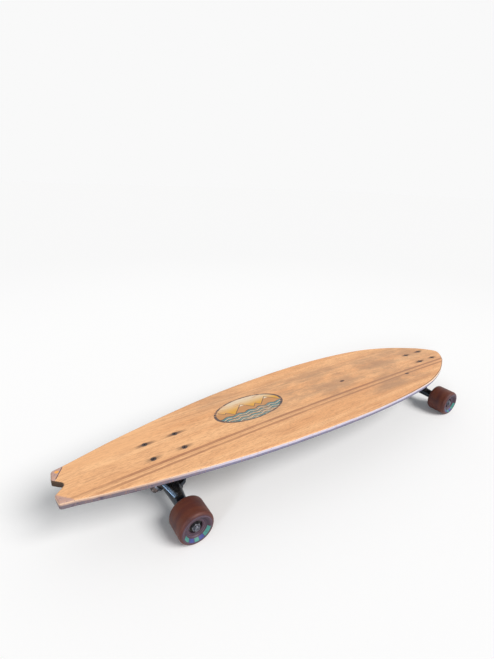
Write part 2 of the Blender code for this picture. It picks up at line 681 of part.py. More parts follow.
def make_hanger(name, steer):
    hanger = add_piece(f"{name}_hanger", bar_solid(), cast_black, steer)
    ring_place = Matrix.Translation((-RING_REACH, 0, 0))
    along_axle = axle_place @ across

    collar = rod(COLLAR_RADIUS, -hanger_half, hanger_half, PIN_FACETS)
    combine(hanger, "UNION", f"{name}_collar", collar, steer, along_axle)
    combine(hanger, "UNION", f"{name}_hanger_web", hanger_web_solid(), steer)
    eye = round_rims(rod(RING_RADIUS, -ring_level, ring_level, RING_FACETS), CAST_ROUND, 1)
    combine(hanger, "UNION", f"{name}_eye", eye, steer, ring_place)
    combine(hanger, "UNION", f"{name}_stub", stub_solid(), steer, Matrix.Rotation(pi / 2, 4, "Y"))

    for side, label in ((-1, "board"), (1, "road")):
        combine(hanger, "DIFFERENCE", f"{name}_{label}_seat", bushing_seat_solid(side), steer, ring_place)
    hole = rod(RING_HOLE_RADIUS, -2 * ring_level, 2 * ring_level, RING_FACETS)
    combine(hanger, "DIFFERENCE", f"{name}_eye_hole", hole, steer, ring_place)
    bore = rod(axle_bore, -hanger_half - GAP, hanger_half + GAP, PIN_FACETS)
    combine(hanger, "DIFFERENCE", f"{name}_axle_bore", bore, steer, along_axle)


def make_axle(name, steer):
    tip = AXLE_RADIUS - AXLE_CHAMFER
    shoulder = axle_half - AXLE_CHAMFER
    profile = [(0, -axle_half), (tip, -axle_half), (AXLE_RADIUS, -shoulder), (AXLE_RADIUS, shoulder),
               (tip, axle_half), (0, axle_half)]
    add_piece(f"{name}_axle", turned(profile, PIN_FACETS), bright_steel, steer, axle_place @ across)


# Kingpin stack, in the kingpin frame: bushings, cup washers, kingpin and lock nut

def cup_washer(edge):
    """A dished washer. A bushing presses on its face at z = 0, and its lip wraps the bushing's edge."""
    bore = KINGPIN_RADIUS + GAP
    inside = edge + GAP
    outside = inside + WASHER_LIP_THICKNESS
    profile = [(bore, 0), (inside, 0), (inside, -WASHER_LIP_HEIGHT), (outside, -WASHER_LIP_HEIGHT),
               (outside, WASHER_THICKNESS), (bore, WASHER_THICKNESS)]
    return turned(profile, RING_FACETS, closed=True)


def make_kingpin_stack(name, stack):
    bore = KINGPIN_RADIUS + BUSHING_BORE_GAP
    barrel = ring(bore, BUSHING_RADIUS, bushing_from, board_bushing_to, RING_FACETS)
    add_piece(f"{name}_board_bushing", barrel, bushing_urethane, stack, flip)
    cone = turned([(bore, bushing_from), (BUSHING_RADIUS, bushing_from),
                   (ROAD_BUSHING_TIP_RADIUS, road_bushing_to), (bore, road_bushing_to)],
                  RING_FACETS, closed=True)
    add_piece(f"{name}_road_bushing", cone, bushing_urethane, stack)

    on_board = flip @ Matrix.Translation((0, 0, board_bushing_to + GAP))
    add_piece(f"{name}_board_washer", cup_washer(BUSHING_RADIUS), bright_steel, stack, on_board)
    on_road = Matrix.Translation((0, 0, road_bushing_to + GAP))
    cone_share = WASHER_LIP_HEIGHT / ROAD_BUSHING_HEIGHT
    cone_edge = ROAD_BUSHING_TIP_RADIUS + (BUSHING_RADIUS - ROAD_BUSHING_TIP_RADIUS) * cone_share
    add_piece(f"{name}_road_washer", cup_washer(cone_edge), bright_steel, stack, on_road)

    pin = rod(KINGPIN_RADIUS, -head_level - KINGPIN_HEAD_HEIGHT / 2, kingpin_end, PIN_FACETS)
    kingpin = add_piece(f"{name}_kingpin", pin, black_steel, stack)
    head = rod(head_radius, -head_level - KINGPIN_HEAD_HEIGHT, -head_level, 6)
    combine(kingpin, "UNION", f"{name}_kingpin_head", head, stack)
    add_object(f"{name}_kingpin_nut", kingpin_nut_mesh, stack, Matrix.Translation((0, 0, kingpin_nut_level)))


# Wheels and what holds them, in the steering frame

def make_wheel_set(name, steer, side):
    outward = across if side > 0 else across.inverted()
    level = Matrix.Rotation(-steer_turn - truck_slope, 4, "Y")

    def at(y):
        return axle_place @ Matrix.Translation((0, side * y, 0)) @ outward

    wheel_place = axle_place @ Matrix.Translation((0, side * wheel_y, 0)) @ level @ outward
    add_object(f"{name}_wheel", wheel_mesh, steer, wheel_place)
    add_object(f"{name}_outer_bearing", bearing_mesh, steer, at(wheel_y + bearing_y))
    add_object(f"{name}_inner_bearing", bearing_mesh, steer, at(wheel_y - bearing_y) @ flip)
    add_object(f"{name}_speed_washer", speed_washer_mesh, steer, at(speed_washer_y))
    add_object(f"{name}_axle_nut", axle_nut_mesh, steer, at(axle_nut_y))


# Deck bolts, through deck, riser and plate

def make_deck_bolts(name, truck):
    above = deck_top + DECK_THICKNESS
    for number, (x, y) in enumerate(bolt_places(), 1):
        place = Matrix.Translation((x, y, 0))
        add_object(f"{name}_deck_bolt_{number}", bolt_mesh, truck, place)
        under_plate = Matrix.Translation((x, y, plate_under - GAP)) @ flip
        add_object(f"{name}_deck_nut_{number}", bolt_nut_mesh, truck, under_plate)
        hole = [(0, above), (BOLT_HEAD_RADIUS + GAP, above)] + bolt_profile(GAP)
        combine(deck, "DIFFERENCE", f"{name}_countersink_{number}", turned(hole, BOLT_FACETS), truck, place)


# Trucks

def make_truck(name, end):
    """end is +1 at the nose and -1 at the tail; outboard is towards that end."""
    place = (Matrix.Translation((board_shift + end * axle_x, 0, axle_height))
             @ Matrix.Rotation(0 if end > 0 else pi, 4, "Z") @ Matrix.Rotation(truck_slope, 4, "Y"))
    truck = add_object(f"{name}_truck_frame", None, place=place)
    steer = add_object(f"{name}_steering_frame", None, truck, steer_place)
    stack = add_object(f"{name}_kingpin_frame", None, truck, kingpin_place)
    make_riser(name, truck)
    make_baseplate(name, truck)
    make_deck_bolts(name, truck)
    make_pivot_cup(name, truck)
    make_hanger(name, steer)
    make_axle(name, steer)
    make_kingpin_stack(name, stack)
    for label, side in (("left", end), ("right", -end)):
        make_wheel_set(f"{name}_{label}", steer, side)


make_truck("rear", -1)
make_truck("front", 1)
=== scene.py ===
# Longboard skateboard: the looks of a fishtail deck on two reverse-kingpin trucks.
# Metres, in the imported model's own frame: +X to the nose, +Y to the rider's left, +Z up from the floor.

import json
from math import acos, cos, pi, radians, sin, tan

import bmesh
import bpy
from mathutils import Matrix, Vector


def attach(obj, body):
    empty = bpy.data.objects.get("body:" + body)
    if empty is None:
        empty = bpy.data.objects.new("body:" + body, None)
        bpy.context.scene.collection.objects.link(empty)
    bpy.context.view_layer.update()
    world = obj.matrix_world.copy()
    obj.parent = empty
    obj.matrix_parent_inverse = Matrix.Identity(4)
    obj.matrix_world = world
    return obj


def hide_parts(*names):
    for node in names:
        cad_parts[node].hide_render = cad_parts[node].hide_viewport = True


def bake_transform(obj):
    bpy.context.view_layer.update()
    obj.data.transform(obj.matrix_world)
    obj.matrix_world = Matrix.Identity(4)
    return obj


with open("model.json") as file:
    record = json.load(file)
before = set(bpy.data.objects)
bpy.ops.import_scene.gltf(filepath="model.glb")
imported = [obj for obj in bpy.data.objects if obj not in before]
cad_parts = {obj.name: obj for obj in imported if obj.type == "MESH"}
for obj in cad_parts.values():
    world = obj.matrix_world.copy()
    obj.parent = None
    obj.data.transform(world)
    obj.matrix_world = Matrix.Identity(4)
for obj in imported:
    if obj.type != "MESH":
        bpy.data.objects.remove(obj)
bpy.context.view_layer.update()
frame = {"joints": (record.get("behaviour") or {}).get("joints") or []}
scene = bpy.context.scene

MM = 0.001


# Camera
# It stands behind the tail, to the rider's right, and looks down along the deck. Its place, turn and lens put
# the deck's bolts, rims and lower edge where the photograph has them.

CAMERA_PLACE = (-0.5010, -0.5043, 0.5307)
CAMERA_DEGREES = (68.837, -2.103, -33.677)
FOCAL_PIXELS = 382.2
PHOTO_HEIGHT_PIXELS = 659

camera_data = bpy.data.cameras.new("camera")
camera_data.sensor_width = 36
camera_data.lens = FOCAL_PIXELS / PHOTO_HEIGHT_PIXELS * camera_data.sensor_width
camera_data.clip_start = 10 * MM
camera = bpy.data.objects.new("camera", camera_data)
camera.location = CAMERA_PLACE
camera.rotation_euler = [radians(angle) for angle in CAMERA_DEGREES]
scene.collection.objects.link(camera)
scene.camera = camera
scene.view_settings.view_transform = "Standard"


# Studio
# A pale floor under an even white sky, and one broad lamp on the camera's right, which throws the board's
# soft shadow to the left and away from the camera. A faint cool lamp, low behind the tail, puts a glint on
# glossy paint.

FLOOR_REACH = 30.0
FLOOR_NEAR = (0.985, 0.985, 0.985, 1.0)
FLOOR_FAR = (0.947, 0.947, 0.947, 1.0)
FLOOR_GREYS_FROM = 0.8
FLOOR_GREYS_TO = 2.4
BACKDROP_STRENGTH = 0.947
SKY_STRENGTH = 0.36
LAMP_STRENGTH = 2.64
LAMP_COLOUR = (1.0, 0.984, 0.968)
LAMP_SOFTNESS = radians(32)
LAMP_FROM = Vector((0.42, -0.90, 0.92))
GLINT_STRENGTH = 0.8
GLINT_SOFTNESS = radians(12)
GLINT_COLOUR = (0.80, 0.90, 1.0)
GLINT_FROM = Vector((-0.80, -0.50, 0.32))


class Field:
    """A number, colour or place that a shader node puts out. Sums on it add Math nodes to its tree."""

    def __init__(self, socket):
        self.socket = socket

    def __add__(self, other):
        return maths("ADD", self, other)

    def __sub__(self, other):
        return maths("SUBTRACT", self, other)

    def __rsub__(self, other):
        return maths("SUBTRACT", other, self)

    def __mul__(self, other):
        return maths("MULTIPLY", self, other)

    def __truediv__(self, other):
        return maths("DIVIDE", self, other)

    def __abs__(self):
        return maths("ABSOLUTE", self)


def feed(socket, value):
    """Links a node's input to a field, or sets it to a plain value."""
    if isinstance(value, Field):
        socket.id_data.links.new(value.socket, socket)
    else:
        socket.default_value = value


def new_node(kind, *values, **settings):
    """A node in the tree of the first field among its values, which go to its inputs in their order."""
    tree = next(value.socket.id_data for value in values if isinstance(value, Field))
    node = tree.nodes.new(kind)
    for name, setting in settings.items():
        setattr(node, name, setting)
    for socket, value in zip(node.inputs, values):
        feed(socket, value)
    return node


def maths(operation, *values):
    return Field(new_node("ShaderNodeMath", *values, operation=operation).outputs[0])


def blended(share, first, second):
    """The first colour where share is 0, and the second where it is 1."""
    node = new_node("ShaderNodeMix", share, data_type="RGBA")
    feed(node.inputs[6], first)
    feed(node.inputs[7], second)
    return Field(node.outputs[2])


def rise(value, low, high):
    """Goes smoothly from 0 to 1 as the value goes from low to high."""
    node = new_node("ShaderNodeMapRange", value, low, high, 0.0, 1.0, interpolation_type="SMOOTHSTEP")
    return Field(node.outputs[0])


def new_finish(name, roughness, metallic=0.0, attribute=None):
    """A material, its shader, and the place that its patterns follow: the object's own, or an attribute."""
    made = bpy.data.materials.new(name)
    made.use_nodes = True
    tree = made.node_tree
    shader = tree.nodes["Principled BSDF"]
    shader.inputs["Roughness"].default_value = roughness
    shader.inputs["Metallic"].default_value = metallic
    if not attribute:
        return made, shader, Field(tree.nodes.new("ShaderNodeTexCoord").outputs["Object"])
    stored = tree.nodes.new("ShaderNodeAttribute")
    stored.attribute_name = attribute
    return made, shader, Field(stored.outputs["Vector"])


def studio_sky():
    """White to the camera, mirrors and clear pieces, and dimmer as a light."""
    world = bpy.data.worlds.new("studio_sky")
    world.use_nodes = True
    background = world.node_tree.nodes["Background"]
    background.inputs["Color"].default_value = (1.0, 1.0, 1.0, 1.0)
    rays = world.node_tree.nodes.new("ShaderNodeLightPath")
    from_camera, mirrored, clear = (Field(rays.outputs[f"Is {kind} Ray"])
                                    for kind in ("Camera", "Glossy", "Transmission"))
    seen_ray = maths("MAXIMUM", from_camera, maths("MAXIMUM", mirrored, clear))
    feed(background.inputs["Strength"], seen_ray * (BACKDROP_STRENGTH - SKY_STRENGTH) + SKY_STRENGTH)
    return world


def floor_paint():
    """Nearly white round the board, and a shade greyer far away, where it meets the backdrop."""
    made, shader, place = new_finish("floor_paint", 1.0)
    away = Field(new_node("ShaderNodeVectorMath", place, operation="LENGTH").outputs["Value"])
    feed(shader.inputs["Base Color"],
         blended(rise(away, FLOOR_GREYS_FROM, FLOOR_GREYS_TO), FLOOR_NEAR, FLOOR_FAR))
    shader.inputs["Specular IOR Level"].default_value = 0.0
    return made


def studio_lamp(name, strength, softness, towards, colour):
    data = bpy.data.lights.new(name, "SUN")
    data.energy = strength
    data.angle = softness
    data.color = colour
    made = bpy.data.objects.new(name, data)
    made.rotation_euler = towards.to_track_quat("Z", "Y").to_euler()
    scene.collection.objects.link(made)


scene.world = studio_sky()
floor_bm = bmesh.new()
bmesh.ops.create_grid(floor_bm, x_segments=1, y_segments=1, size=FLOOR_REACH)
floor_mesh = bpy.data.meshes.new("floor")
floor_bm.to_mesh(floor_mesh)
floor_bm.free()
floor_mesh.materials.append(floor_paint())
floor = bpy.data.objects.new("floor", floor_mesh)
scene.collection.objects.link(floor)

studio_lamp("main_lamp", LAMP_STRENGTH, LAMP_SOFTNESS, LAMP_FROM, LAMP_COLOUR)
studio_lamp("glint_lamp", GLINT_STRENGTH, GLINT_SOFTNESS, GLINT_FROM, GLINT_COLOUR)


# Deck
# Nine sheets of maple, glued in a press that gives them their arch and their slight concave, then sawn to the
# fishtail outline, rounded along both rims, drilled for the trucks, stained and lacquered.

DECK_THICKNESS = 12.6 * MM
DECK_WIDTH = 229.4 * MM
WHEELBASE = 713.5 * MM
NOSE_OVERHANG = 81.3 * MM
TAIL_OVERHANG = 170.3 * MM
WIDEST_AHEAD = 45.0 * MM
ARCH_RADIUS = 13500.0 * MM
CONCAVE_RADIUS = 5800.0 * MM
DECK_EDGE_ROUND = 2.6 * MM
DECK_CELL = 22.0 * MM
NOSE_CURVE = ((0.267, 0.970), (0.522, 0.868), (0.725, 0.665), (0.878, 0.408), (0.934, 0.278), (0.972, 0.157),
              (0.992, 0.075))
TAIL_CURVE = ((0.166, 0.978), (0.341, 0.918), (0.498, 0.831), (0.638, 0.718), (0.743, 0.619),
              (0.830, 0.527), (0.918, 0.414), (0.962, 0.356))
OUTLINE_STEPS = 8
RIM_SEGMENTS = 5
TAIL_TIP_HALF_WIDTH = 36.8 * MM
TAIL_TIP_SLANT = 2.4 * MM
TAIL_CORNER_RADIUS = 5.5 * MM
NOTCH_MOUTH_HALF_WIDTH = 17.0 * MM
NOTCH_DEPTH = 18.0 * MM
NOTCH_LIP_RADIUS = 3.5 * MM
NOTCH_ROOT_RADIUS = 7.5 * MM

GAP = 0.3 * MM
BOLT_SPACING_LONG = 53.98 * MM
BOLT_SPACING_WIDE = 41.28 * MM
BOLT_PATTERN_OUTBOARD = 3.0 * MM
BOLT_RADIUS = 2.4 * MM
BOLT_HEAD_RADIUS = 4.7 * MM
BOLT_HEAD_DEPTH = 2.8 * MM
BOLT_HEAD_SINK = 0.4 * MM
BOLT_FACETS = 32
STEER_ANGLE = radians(50.0)
RAKE = 3.0 * MM
AXLE_DROP = 68.6 * MM
RISER_THICKNESS = 3.2 * MM
DECK_SAG = 0.096 * MM
FINE_ARC_TRIM = 0.03 * MM
WELD_DISTANCE = 0.001 * MM
CUT_TOLERANCE = 0.01 * MM

deck_top = AXLE_DROP + GAP + RISER_THICKNESS + GAP + DECK_SAG + DECK_THICKNESS
board_shift = (TAIL_OVERHANG - NOSE_OVERHANG) / 2
truck_reach = WHEELBASE / 2
joints = {joint["name"]: joint for joint in frame["joints"]}


def steering_place(end):
    """A truck's steering frame: +X along the steering line to the pivot, +Z along the kingpin to the road."""
    joint = joints[f"{end}_steering"]
    along = -Vector(joint["axis"]).normalized()
    across = Vector((0, 1 if end == "front" else -1, 0))
    down = along.cross(across)
    turn = Matrix((along, across, down)).transposed().to_4x4()
    return Matrix.Translation(joint["pos_m"]) @ turn


steering = {end: steering_place(end) for end in ("front", "rear")}
to_axle = Matrix.Rotation(pi - STEER_ANGLE, 4, "Y") @ Matrix.Translation((0, 0, -RAKE))
truck = {end: steering[end] @ to_axle.inverted() for end in steering}
apex_height = ((truck["front"] @ Vector((BOLT_PATTERN_OUTBOARD, 0, deck_top))).z
               + truck_reach ** 2 / (2 * ARCH_RADIUS))


def bolt_places():
    for x in (-1, 1):
        for y in (-1, 1):
            yield (BOLT_PATTERN_OUTBOARD + x * BOLT_SPACING_LONG / 2, y * BOLT_SPACING_WIDE / 2)


def filleted(corners, steps=6):
    """A closed outline whose corners (x, y, radius) are rounded by arcs."""
    outline = []
    for index, (x, y, radius) in enumerate(corners):
        corner = Vector((x, y))
        if not radius:
            outline.append(corner)
            continue
        back = (Vector(corners[index - 1][:2]) - corner).normalized()
        ahead = (Vector(corners[(index + 1) % len(corners)][:2]) - corner).normalized()
        half = acos(max(-1.0, min(1.0, back.dot(ahead)))) / 2
        centre = corner + (back + ahead).normalized() * radius / sin(half)
        first = corner + back * radius / tan(half) - centre
        last = corner + ahead * radius / tan(half) - centre
        sweep = pi - 2 * half
        for step in range(steps + 1):
            share = step / steps
            spoke = (first * sin((1 - share) * sweep) + last * sin(share * sweep)) / sin(sweep)
            outline.append(centre + spoke)
    return outline


def smooth_through(points, steps):
    """A Catmull-Rom curve through points; the first and last only guide its ends."""
    curve = []
    for a, b, c, d in zip(points, points[1:], points[2:], points[3:]):
        for step in range(steps):
            t = step / steps
            curve.append(0.5 * (2 * b + (c - a) * t + (2 * a - 5 * b + 4 * c - d) * t ** 2
                                + (3 * b - a - 3 * c + d) * t ** 3))
    curve.append(points[-2])
    return curve


def deck_outline():
    half = DECK_WIDTH / 2
    nose_run = truck_reach + NOSE_OVERHANG - WIDEST_AHEAD
    tail_run = truck_reach + TAIL_OVERHANG + WIDEST_AHEAD
    nose = [Vector((WIDEST_AHEAD + along * nose_run, wide * half)) for along, wide in NOSE_CURVE]
    tail = [Vector((WIDEST_AHEAD - along * tail_run, wide * half)) for along, wide in TAIL_CURVE]
    left = tail[::-1] + [Vector((WIDEST_AHEAD, half))] + nose
    right = [Vector((point.x, -point.y)) for point in left[::-1]]
    tip = Vector((truck_reach + NOSE_OVERHANG, 0))
    tail_x = -truck_reach - TAIL_OVERHANG + FINE_ARC_TRIM
    left_corner = Vector((tail_x + TAIL_TIP_SLANT, TAIL_TIP_HALF_WIDTH))
    right_corner = Vector((left_corner.x, -left_corner.y))
    sides = smooth_through([left_corner] + left + [tip] + right + [right_corner], OUTLINE_STEPS)
    fishtail = filleted([
        (*sides[-1], 0),
        (*right_corner, TAIL_CORNER_RADIUS),
        (tail_x, -NOTCH_MOUTH_HALF_WIDTH, NOTCH_LIP_RADIUS),
        (tail_x + NOTCH_DEPTH, 0, NOTCH_ROOT_RADIUS),
        (tail_x, NOTCH_MOUTH_HALF_WIDTH, NOTCH_LIP_RADIUS),
        (*left_corner, TAIL_CORNER_RADIUS),
        (*sides[0], 0),
    ])
    return sides + fishtail[1:-1]


def swept(bm, travel):
    """Sweeps a flat face along travel into a closed solid."""
    grown = bmesh.ops.extrude_face_region(bm, geom=bm.faces[:])
    far_end = [item for item in grown["geom"] if isinstance(item, bmesh.types.BMVert)]
    bmesh.ops.translate(bm, verts=far_end, vec=travel)
    bmesh.ops.recalc_face_normals(bm, faces=bm.faces)
    return bm


def extruded(outline, travel):
    """A prism: a closed outline of points swept along travel."""
    bm = bmesh.new()
    bm.faces.new([bm.verts.new(point) for point in outline])
    return swept(bm, travel)


def turned(profile, facets=48, closed=False):
    """A solid turned about Z from points (radius, height); a closed profile makes a ring."""
    bm = bmesh.new()
    points = [bm.verts.new((radius, 0, height)) for radius, height in profile]
    edges = [bm.edges.new(pair) for pair in zip(points, points[1:])]
    if closed:
        edges.append(bm.edges.new((points[-1], points[0])))
    bmesh.ops.spin(bm, geom=points + edges, axis=(0, 0, 1), cent=(0, 0, 0), angle=2 * pi,
                   steps=facets, use_merge=True)
    bmesh.ops.remove_doubles(bm, verts=bm.verts, dist=WELD_DISTANCE)
    bmesh.ops.recalc_face_normals(bm, faces=bm.faces)
    return bm


def round_rims(bm, radius, segments, axis=(0, 0, 1)):
    """Rounds the rims of the end faces that stand square to the axis."""
    bm.normal_update()
    ends = [face for face in bm.faces if abs(face.normal.dot(Vector(axis))) > 0.999]
    rims = list({edge for face in ends for edge in face.edges})
    bmesh.ops.bevel(bm, geom=rims, offset=radius, offset_type="OFFSET", segments=segments,
                    profile=0.5, affect="EDGES", material=-1, clamp_overlap=True)
    return bm


def moved(bm, place):
    bmesh.ops.transform(bm, matrix=place, verts=bm.verts)
    return bm


def loose(bm):
    """A bmesh as an object that holds it while modifiers work on it."""
    mesh = bpy.data.meshes.new("loose")
    bm.to_mesh(mesh)
    bm.free()
    made = bpy.data.objects.new("loose", mesh)
    scene.collection.objects.link(made)
    return made


def taken_back(made, tools=()):
    """The shape that an object's modifiers give it, as a bmesh; the object and its tools are removed."""
    bm = bmesh.new()
    bm.from_object(made, bpy.context.evaluated_depsgraph_get())
    for item in (made, *tools):
        mesh = item.data
        bpy.data.objects.remove(item)
        bpy.data.meshes.remove(mesh)
    return bm


def carved(bm, operation, *tools):
    """Joins tools to a shape, or cuts them away from it."""
    made = loose(bm)
    tools = [loose(tool) for tool in tools]
    for tool in tools:
        step = made.modifiers.new("carve", "BOOLEAN")
        step.operation = operation
        step.solver = "EXACT"
        step.object = tool
    return taken_back(made, tools)


def finished(name, bm, *finishes, sharp=32):
    """A mesh with smooth shading up to an angle and its finishes."""
    mesh = bpy.data.meshes.new(name)
    bm.to_mesh(mesh)
    bm.free()
    mesh.shade_smooth()
    mesh.set_sharp_from_angle(angle=radians(sharp))
    for finish in finishes:
        mesh.materials.append(finish)
    return mesh


def set_in(name, mesh, place):
    """A copy of a mesh as a piece in its place."""
    piece = bpy.data.objects.new(name, mesh.copy())
    piece.data.transform(place)
    scene.collection.objects.link(piece)
    even = piece.modifiers.new("even_shading", "WEIGHTED_NORMAL")
    even.keep_sharp = True
    return piece


def fitted(name, mesh, place, body, node):
    """A copy of a mesh in its place, which rides on a body and stands in for a node."""
    piece = set_in(name, mesh, place)
    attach(piece, body)
    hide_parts(node)


def deck_height(x, y, lesser=min):
    """How high the deck's top lies at a place, given as numbers or as fields."""
    arched = lesser(abs(x), truck_reach)
    drop = arched * arched / (2 * ARCH_RADIUS) + (abs(x) - arched) * (truck_reach / ARCH_RADIUS)
    return apex_height - drop + y * y / (2 * CONCAVE_RADIUS)


def bolt_profile(end, clearance=0.0):
    top = deck_top - BOLT_HEAD_SINK
    shank = BOLT_RADIUS + clearance
    head = BOLT_HEAD_RADIUS + clearance
    return [(head, top), (head, top - GAP), (shank, top - BOLT_HEAD_DEPTH), (shank, end), (0, end)]


def pressed_deck():
    """The flat blank, cut into cells so that it can follow the arch and the concave, then drilled."""
    outline = [(point.x, point.y, -DECK_THICKNESS) for point in deck_outline()]
    bm = round_rims(extruded(outline, (0, 0, DECK_THICKNESS)), DECK_EDGE_ROUND, RIM_SEGMENTS)
    reach = truck_reach + max(NOSE_OVERHANG, TAIL_OVERHANG)
    for axis, span in ((Vector((1, 0, 0)), reach), (Vector((0, 1, 0)), DECK_WIDTH / 2)):
        cuts = int(span / DECK_CELL) + 1
        for cut in range(-cuts, cuts):
            bmesh.ops.bisect_plane(bm, geom=bm.verts[:] + bm.edges[:] + bm.faces[:], dist=CUT_TOLERANCE,
                                   plane_co=axis * (cut + 0.5) * DECK_CELL, plane_no=axis)
    for vert in bm.verts:
        vert.co.z += deck_height(vert.co.x, vert.co.y)
    bmesh.ops.triangulate(bm, faces=[face for face in bm.faces if len(face.verts) > 4])
    moved(bm, Matrix.Translation((board_shift, 0, 0)))
    above = deck_top + DECK_THICKNESS
    holes = []
    for end in truck:
        for x, y in bolt_places():
            profile = [(0, above), (BOLT_HEAD_RADIUS + GAP, above)] + bolt_profile(0, GAP)
            holes.append(moved(turned(profile, BOLT_FACETS), truck[end] @ Matrix.Translation((x, y, 0))))
    return carved(bm, "DIFFERENCE", *holes)


def seen(red, green, blue):
    """A colour as it looks on a screen, each part from 0 to 255."""
    return (*(((part / 255 + 0.055) / 1.055) ** 2.4 for part in (red, green, blue)), 1.0)


# The deck's finish, in millimetres from the middle of the board. A pair is where an effect starts and where
# it is full. A stripe has its middle, half width and share. A dirty area has its middle, half width and soft
# edge along the board, the same across it, and its share. A ridge has its shift, half span, slope and drop.
PLY_COUNT = 9
STRIPES = ((-36.0, 1.9, 0.74), (-47.3, 1.6, 0.62), (-41.0, 0.7, 0.22), (56.0, 0.8, 0.22), (68.0, 0.8, 0.26))
STRIPE_SOFTNESS = 1.5
STRIPES_FADE = (-500.0, -400.0)
DIRTY_AREAS = (((120.0, 170.0, 200.0), (14.0, 32.0, 52.0), 1.0),
               ((190.0, 50.0, 90.0), (-62.0, 8.0, 22.0), 1.0),
               ((-232.0, 30.0, 90.0), (124.0, 50.0, 40.0), 0.6))
BLEACHED_ALONG = (-290.0, -400.0)
BLEACHED_ACROSS = (6.0, 40.0)
SMUDGE_SQUEEZE = 4.2
SMUDGE_RAGGED = 30.0
SMUDGE_EDGE = (24.0, 5.0)
SPOTS = ((236.0, -48.0), (67.6, 2.2))
SPOT_SQUEEZE = 0.42
SPOT_EDGE = (3.8, 1.8)
BADGE_MIDDLE = (-172.0, 20.0)
BADGE_HALF = (78.0, 38.0)
RIDGES = ((203.0, 17.0, 1.05, 10.0), (214.0, 29.0, 0.95, 9.0))
SNOW_LINE = (11.0, 12.5)
WATER_LINE = -7.2
WAVE_ROW = 7.5
TO_TAIL = (-260.0, -430.0)
TO_NOSE = (170.0, 320.0)
VENEER = (0.9, 1.3)
CREAM_AND_HIGHLIGHT_DEPTH = 1.9
GREY_AND_SHADE_LEVEL = (5.6, 7.0)
DARK_AND_SHADE_LEVEL = (10.2, 12.2)
UNDERSIDE = (12.0, 12.4)
NOTCH_SIDE = (-503.0, -508.0)
CRACK_MIDDLE = (-514.2, 25.9)
CRACK_ACROSS = (-0.868, 0.497)
CHIP_MIDDLE = (-516.6, 30.2)
WORN_CORNER = (-515.3, -26.9)
WORN_ACROSS = (-0.740, -0.673)
WOOD_LIGHT = seen(254, 200, 148)
WOOD_DEEP = seen(239, 179, 128)
WOOD_PORE = seen(186, 130, 96)
WOOD_SPECK = seen(170, 120, 92)
WOOD_DIRT = seen(172, 138, 114)
WOOD_STRIPE = seen(158, 104, 80)
BOLT_SMUDGE = seen(88, 72, 70)
# Sawn side: the cream holds a painted highlight, the grey and dark hold painted shade towards the bottom.
CREAM_PLY_AND_HIGHLIGHT = seen(242, 212, 182)
TAIL_CREAM_AND_HIGHLIGHT = seen(228, 192, 160)
PALE_PLY = seen(200, 194, 212)
TAIL_PLY = seen(178, 150, 138)
GREY_PLY_AND_SHADE = seen(122, 121, 144)
TAIL_GREY_AND_SHADE = seen(112, 102, 110)
DARK_PLY_AND_SHADE = seen(72, 66, 80)
SCUFF_DARK = seen(66, 58, 80)
BROWN_EDGE = seen(110, 76, 58)
# Painted shade: the dark brown of the notch's walls, in the recess between the tips.
NOTCH_SHADE_BROWN = seen(66, 48, 34)
TIP_GREY = seen(196, 160, 148)
CHIP_ORANGE = seen(250, 176, 92)
UNDER_LIGHT = seen(96, 84, 78)
UNDER_DEEP = seen(62, 54, 52)
BADGE_NAVY = seen(62, 66, 78)
BADGE_OCHRE = seen(222, 166, 70)
BADGE_TEAL = seen(76, 134, 140)
BADGE_CREAM = seen(232, 216, 190)
BADGE_TAN = seen(196, 144, 98)


def stripe(value, centre, half, soft):
    """1 within half of the centre, and 0 beyond a soft edge."""
    return rise(abs(value - centre), half + soft, half)


def noise(place, scale, detail=3.0, roughness=0.55, distortion=0.0):
    """Noise from 0 to 1. A scale for each axis draws it out along the grain."""
    if isinstance(scale, tuple):
        drawn = new_node("ShaderNodeMapping", place)
        drawn.inputs["Scale"].default_value = scale
        place = Field(drawn.outputs[0])
        scale = 1.0
    node = new_node("ShaderNodeTexNoise", place)
    for label, value in (("Scale", scale), ("Detail", detail), ("Roughness", roughness),
                         ("Distortion", distortion)):
        node.inputs[label].default_value = value
    return Field(node.outputs["Fac"])


def bumped(shader, height, depth, strength=1.0):
    node = shader.id_data.nodes.new("ShaderNodeBump")
    node.inputs["Strength"].default_value = strength
    node.inputs["Distance"].default_value = depth
    feed(node.inputs["Height"], height)
    feed(shader.inputs["Normal"], Field(node.outputs[0]))


def in_millimetres(place):
    """The three parts of a place, in millimetres."""
    return [Field(part) * (1 / MM) for part in new_node("ShaderNodeSeparateXYZ", place).outputs]


def lesser_field(one, other):
    return maths("MINIMUM", one, other)


def length(x, y):
    return maths("SQRT", x * x + y * y)


def past(x, y, point, across):
    """How far a place is past a line through a point, square to the line."""
    return (x - point[0]) * across[0] + (y - point[1]) * across[1]


def from_point(x, y, point, squeeze=1.0):
    """How far a place is from a point, with lengths along the board squeezed."""
    return length((x - point[0]) * squeeze, y - point[1])


